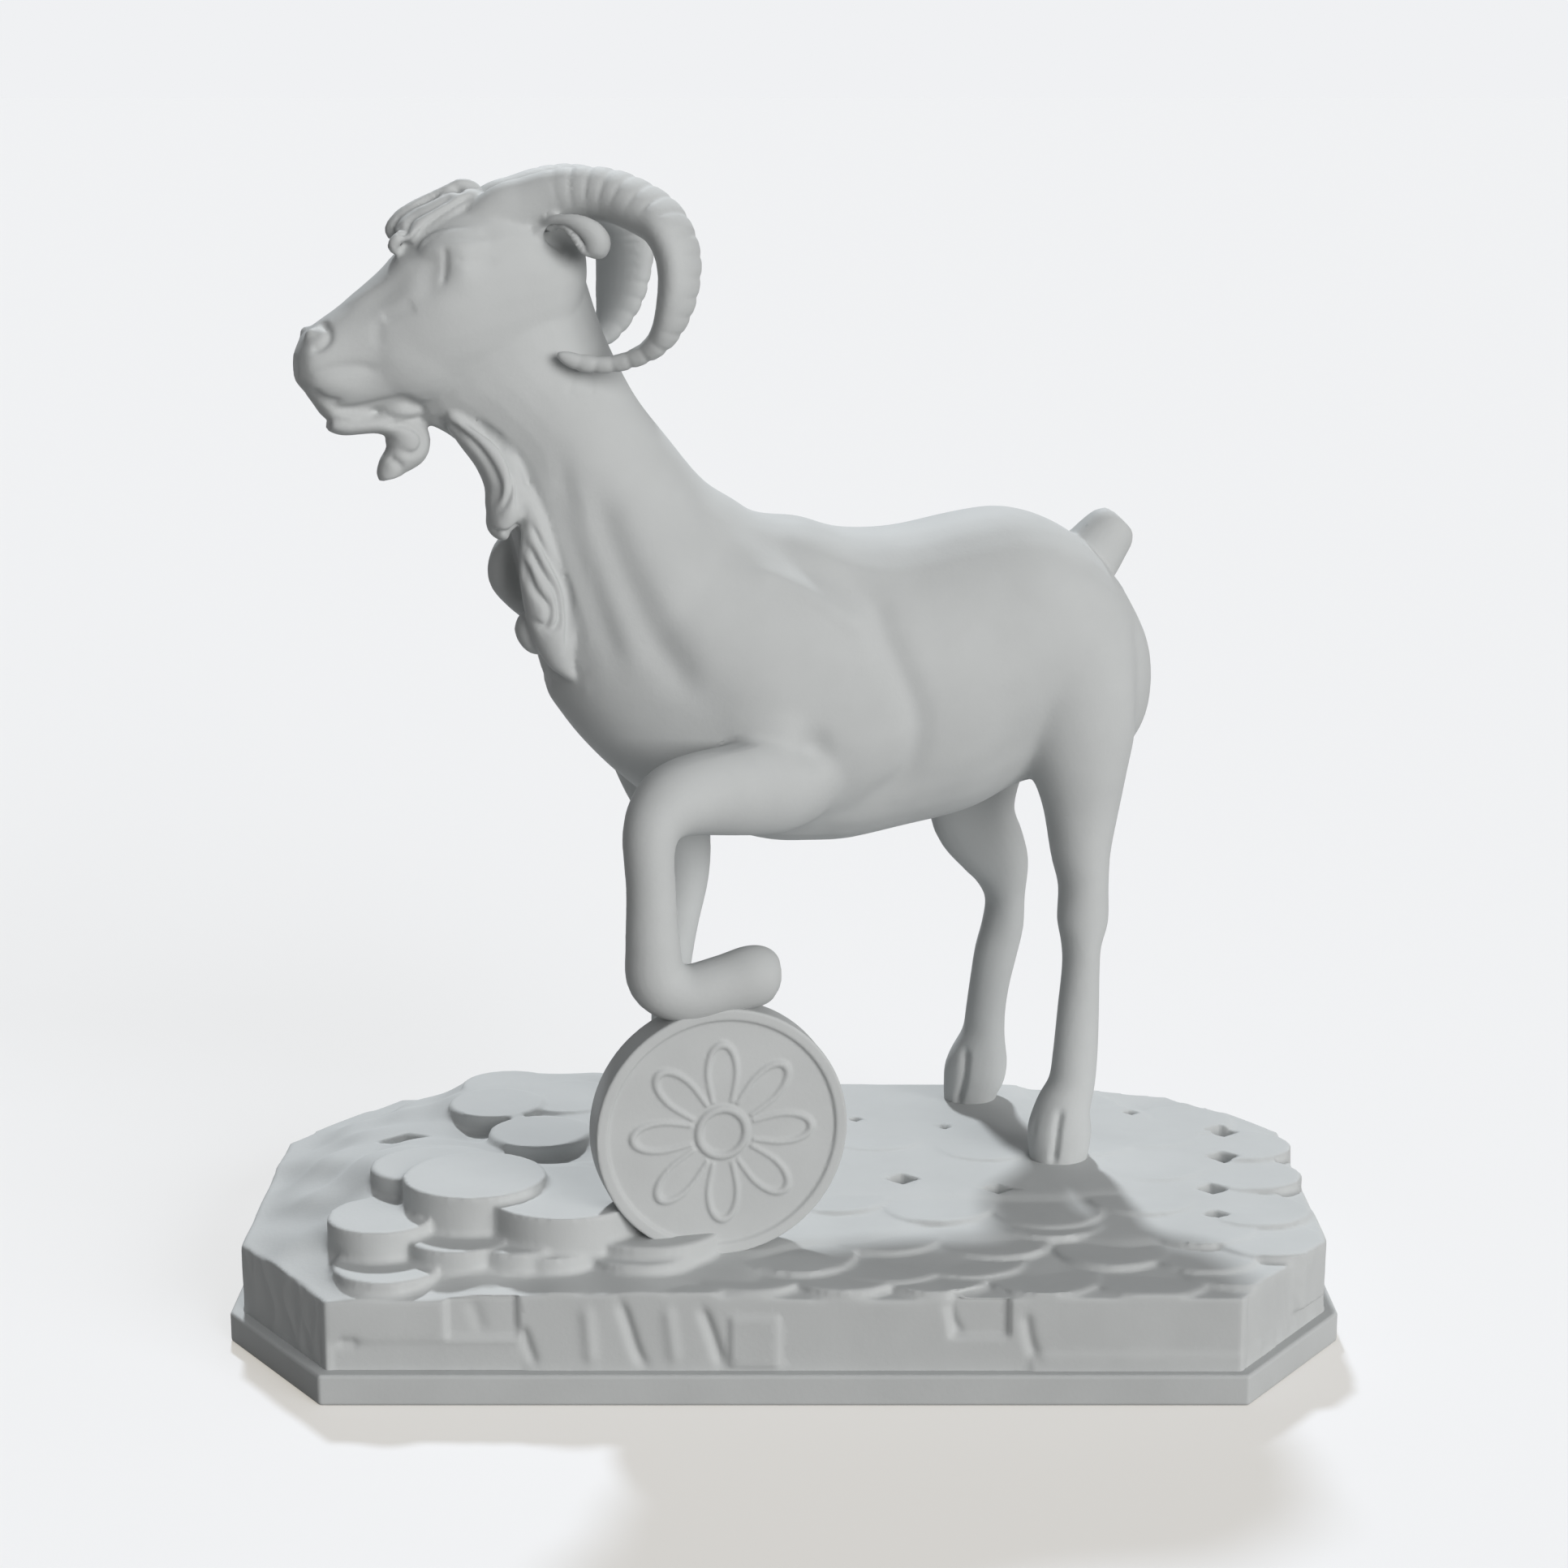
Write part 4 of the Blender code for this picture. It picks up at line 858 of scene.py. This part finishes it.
def carve_front(clay):
    """Panels set back or standing proud, and grooves, on the block's front face alone."""
    facing = np.clip((-clay.normals[:, 1] - 0.3) / 0.3, 0, 1) * (clay.near < -36)
    for left, right, bottom, top, depth, soft in FRONT_PANELS:
        across = np.clip(np.minimum(clay.along - left, right - clay.along) / soft + 0.5, 0, 1)
        upright = np.clip(np.minimum(clay.up - bottom, top - clay.up) / soft + 0.5, 0, 1)
        clay.places[:, 1] += depth * MM * across * upright * facing
    for path, width, depth in FRONT_GROOVES:
        gap, share = clay.distance(curve_through(path, 4))
        shape = np.exp(-(gap / width) ** 2) * np.clip(np.minimum(share, 1 - share) * 5 + 0.2, 0, 1)
        clay.places[:, 1] += depth * MM * shape * facing


def roughen_sides(clay):
    """Uneven, chipped sides all round the block: deeper at the cut corners, faint in front."""
    x, y, z = clay.along, clay.near, clay.up
    upright = np.clip((0.7 - np.abs(clay.normals[:, 2])) / 0.3, 0, 1)
    edge = (np.abs(x) > 60) | (np.abs(y) > 41)
    waves = np.sin(y * 0.62 + 0.8 * np.sin(z * 0.5 + x * 0.2))
    rough = np.sin(x * 0.55 + 1.3 * np.sin(y * 0.4)) * waves
    rough += 0.3 * np.sin(x * 1.1 + y * 0.9 + z * 0.6)
    cut = np.abs(x) / CORNER_X + np.abs(y) / CORNER_Y
    corner = np.clip((cut - 6.35) / 0.2, 0, 1)
    front = y < -43.5
    amount = -0.18 * np.abs(rough) - 0.3 * corner * np.abs(rough)
    amount *= 1 - 0.94 * front
    clay.push(amount * upright * edge * (z < 18.5) * (z > 5.0))


def make_heap():
    """The block with its coins; those in the end row reach out to its side."""
    bm = bmesh.new()
    add_ground(bm)
    for x, y, top in LEVEL_COINS:
        reach = END_REACH if x > END_ROW else 0.0
        add_disc(bm, x, y, top - LEVEL_SINK, LEVEL_RADIUS, LEVEL_TILT, reach)
    for x, y, top, radius, _ in HEAP_COINS:
        add_disc(bm, x, y, top, radius, HEAP_TILT)
    bmesh.ops.recalc_face_normals(bm, faces=bm.faces[:])
    for vert in bm.verts:
        vert.co *= MM
    heap = new_piece("coin_heap", bm)
    skin_over(heap, HEAP_VOXEL, 2)
    clay = Clay(heap.data, (0, 0, 0), ((1, 0, 0), (0, 1, 0), (0, 0, 1)))
    dig_pits(clay)
    carve_front(clay)
    roughen_sides(clay)
    clay.write()
    thin_out(heap, HEAP_TRIANGLES)
    return heap


def coin_place(x, y, out):
    """A place on the standing coin: across it, up it, and out of its near face."""
    ahead = Vector((math.cos(STANDING_TURN), math.sin(STANDING_TURN), 0))
    side = Vector((math.sin(STANDING_TURN), -math.cos(STANDING_TURN), 0))
    return STANDING_COIN + ahead * x + UP * y + side * out


def add_bar(bm, path, half, face):
    """A rounded raised line on the coin's face, through points across and up."""
    rows = [tuple(coin_place(x, y, face)) + (half * share, half * share) for x, y, share in path]
    add_tube(bm, rows, steps=6, side=coin_place(0, 0, 1) - coin_place(0, 0, 0), points=12)


def petal_path(turn):
    """A petal's outline, there and back: (across, up, share of the bar's thickness)."""
    path = []
    for step in range(13):
        swing = (step / 12 - 0.5) * 2
        out = PETAL_ROOT + PETAL_REACH * (1 - swing * swing) ** 0.7
        lean = turn + swing * PETAL_SWING
        path.append((out * math.cos(lean), out * math.sin(lean), 1.0 - 0.35 * abs(swing)))
    return path


def ring_path():
    """The ring in the middle, in sixteen steps."""
    turns = [step * math.pi / 8 for step in range(17)]
    return [(RING_RADIUS * math.cos(turn), RING_RADIUS * math.sin(turn), 1.0) for turn in turns]


def make_standing_coin():
    """A coin with a rim, sunk faces and a plain ornament of petals round a ring on each."""
    bm = bmesh.new()
    radius = STANDING_RADIUS
    bmesh.ops.create_cone(
        bm, cap_ends=True, segments=128, radius1=radius, radius2=radius, depth=STANDING_THICKNESS
    )
    caps = [face for face in bm.faces if abs(face.normal.z) > 0.9]
    bmesh.ops.inset_region(bm, faces=caps, thickness=RIM_WIDTH)
    bmesh.ops.inset_region(bm, faces=caps, thickness=RIM_SLOPE)
    for face in caps:
        side = 1 if face.normal.z > 0 else -1
        for vert in face.verts:
            vert.co.z -= side * FACE_DEPTH
    sharp = [edge for edge in bm.edges if edge.calc_face_angle(0) > 0.4]
    bmesh.ops.bevel(
        bm, geom=sharp, offset=RIM_BEVEL, segments=4, profile=0.5, affect="EDGES", material=-1
    )
    for vert in bm.verts:
        vert.co = coin_place(*vert.co)
    for hand in (1, -1):
        face = hand * (STANDING_THICKNESS / 2 - BAR_HALF)
        for petal in range(PETALS):
            add_bar(bm, petal_path(petal * 2 * math.pi / PETALS), BAR_HALF, face)
        add_bar(bm, ring_path(), BAR_HALF, face)
    for vert in bm.verts:
        vert.co *= MM
    bmesh.ops.recalc_face_normals(bm, faces=bm.faces[:])
    coin = new_piece("standing_coin", bm)
    skin_over(coin, COIN_VOXEL, 2)
    thin_out(coin, COIN_TRIANGLES)
    return coin


def add_noise(nodes, links, place, scale, detail):
    """Noise that is fixed to the object."""
    noise = nodes.new("ShaderNodeTexNoise")
    noise.inputs["Scale"].default_value = scale
    noise.inputs["Detail"].default_value = detail
    links.new(place.outputs["Object"], noise.inputs["Vector"])
    return noise


def resin(name, tone):
    """Pale cast resin: matt, a little mottled, with a fine grain."""
    material = bpy.data.materials.new(name)
    material.use_nodes = True
    nodes = material.node_tree.nodes
    links = material.node_tree.links
    shader = nodes["Principled BSDF"]
    place = nodes.new("ShaderNodeTexCoord")
    mottle = add_noise(nodes, links, place, MOTTLE_SCALE, 5.0)
    colour = nodes.new("ShaderNodeValToRGB")
    ramp = colour.color_ramp
    for element, position, share in zip(ramp.elements, (0.3, 0.7), MOTTLE_SHARES):
        element.position = position
        element.color = tuple(share * value for value in tone[:3]) + (1,)
    links.new(mottle.outputs["Fac"], colour.inputs["Fac"])
    links.new(colour.outputs["Color"], shader.inputs["Base Color"])
    gloss = nodes.new("ShaderNodeMapRange")
    gloss.inputs["To Min"].default_value, gloss.inputs["To Max"].default_value = ROUGHNESS
    links.new(mottle.outputs["Fac"], gloss.inputs["Value"])
    links.new(gloss.outputs["Result"], shader.inputs["Roughness"])
    grain = add_noise(nodes, links, place, GRAIN_SCALE, 3.0)
    bump = nodes.new("ShaderNodeBump")
    bump.inputs["Strength"].default_value = GRAIN_STRENGTH
    bump.inputs["Distance"].default_value = GRAIN_HEIGHT
    links.new(grain.outputs["Fac"], bump.inputs["Height"])
    links.new(bump.outputs["Normal"], shader.inputs["Normal"])
    shader.inputs["Specular IOR Level"].default_value = SPECULAR_LEVEL
    return material


def add_camera():
    """The photograph's view: level from side to side, and looking a little down."""
    lens = bpy.data.cameras.new("camera")
    lens.sensor_width = SENSOR
    lens.lens = SENSOR * PHOTO_FOCAL / PHOTO_SIDE
    lens.clip_start = 0.01
    camera = bpy.data.objects.new("camera", lens)
    camera.location = CAMERA_PLACE
    camera.rotation_euler = (math.pi / 2 - math.atan2(PHOTO_DOWN, PHOTO_FOCAL), 0.0, 0.0)
    bpy.context.scene.collection.objects.link(camera)
    bpy.context.scene.camera = camera


def add_sun(name, towards, strength, angle, tint):
    """A lamp so far off that only its direction counts; at strength 1 a colour shows as written."""
    sun = bpy.data.lights.new(name, "SUN")
    sun.energy = strength * math.pi
    sun.angle = math.radians(angle)
    sun.color = tint
    lamp = bpy.data.objects.new(name, sun)
    lamp.rotation_euler = (-Vector(towards)).to_track_quat("-Z", "Y").to_euler()
    bpy.context.scene.collection.objects.link(lamp)


def background_rays(nodes, links):
    """One for rays that show the background: straight to the camera, mirrored or let through."""
    ray = nodes.new("ShaderNodeLightPath")
    first = nodes.new("ShaderNodeMath")
    first.operation = "ADD"
    second = nodes.new("ShaderNodeMath")
    second.operation = "ADD"
    second.use_clamp = True
    links.new(ray.outputs["Is Camera Ray"], first.inputs[0])
    links.new(ray.outputs["Is Glossy Ray"], first.inputs[1])
    links.new(first.outputs[0], second.inputs[0])
    links.new(ray.outputs["Is Transmission Ray"], second.inputs[1])
    return second.outputs[0]


def paper():
    """The floor: pale with a warm shadow where it is seen, and darker where it lights the object."""
    material = bpy.data.materials.new("paper")
    material.use_nodes = True
    nodes = material.node_tree.nodes
    links = material.node_tree.links
    nodes.clear()
    seen = nodes.new("ShaderNodeBsdfDiffuse")
    seen.inputs["Color"].default_value = FLOOR_SEEN
    glow = nodes.new("ShaderNodeEmission")
    glow.inputs["Color"].default_value = FLOOR_GLOW
    both = nodes.new("ShaderNodeAddShader")
    bounce = nodes.new("ShaderNodeBsdfDiffuse")
    bounce.inputs["Color"].default_value = FLOOR_BOUNCE
    mix = nodes.new("ShaderNodeMixShader")
    output = nodes.new("ShaderNodeOutputMaterial")
    links.new(seen.outputs["BSDF"], both.inputs[0])
    links.new(glow.outputs["Emission"], both.inputs[1])
    links.new(background_rays(nodes, links), mix.inputs["Fac"])
    links.new(bounce.outputs["BSDF"], mix.inputs[1])
    links.new(both.outputs["Shader"], mix.inputs[2])
    links.new(mix.outputs["Shader"], output.inputs["Surface"])
    return material


def add_room():
    """A faint light from all round, behind which the backdrop is seen."""
    world = bpy.data.worlds.new("room")
    bpy.context.scene.world = world
    world.use_nodes = True
    nodes = world.node_tree.nodes
    links = world.node_tree.links
    nodes.clear()
    room = nodes.new("ShaderNodeBackground")
    room.inputs["Color"].default_value = ROOM_TINT
    room.inputs["Strength"].default_value = ROOM_STRENGTH
    backdrop = nodes.new("ShaderNodeBackground")
    backdrop.inputs["Color"].default_value = sheet_tone(*BACKDROP_TONE)
    mix = nodes.new("ShaderNodeMixShader")
    output = nodes.new("ShaderNodeOutputWorld")
    links.new(background_rays(nodes, links), mix.inputs["Fac"])
    links.new(room.outputs["Background"], mix.inputs[1])
    links.new(backdrop.outputs["Background"], mix.inputs[2])
    links.new(mix.outputs["Shader"], output.inputs["Surface"])


def add_studio():
    for name, towards, strength, angle, tint in SUNS:
        add_sun(name, towards, strength, angle, tint)
    add_room()
    bm = bmesh.new()
    bmesh.ops.create_grid(bm, x_segments=1, y_segments=1, size=30.0)
    floor = new_piece("floor", bm)
    floor.data.materials.append(paper())
    bpy.context.scene.view_settings.view_transform = "Standard"


def main():
    finish = resin("pale_resin", sheet_tone(*RESIN_TONE))
    pieces = [make_goat(), make_heap(), make_plate(), make_standing_coin()]
    for piece in pieces:
        piece.data.materials.clear()
        piece.data.materials.append(finish)
        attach(piece, "root")
        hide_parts("goat_figurine")
    add_camera()
    add_studio()


main()
bpy.context.view_layer.update()
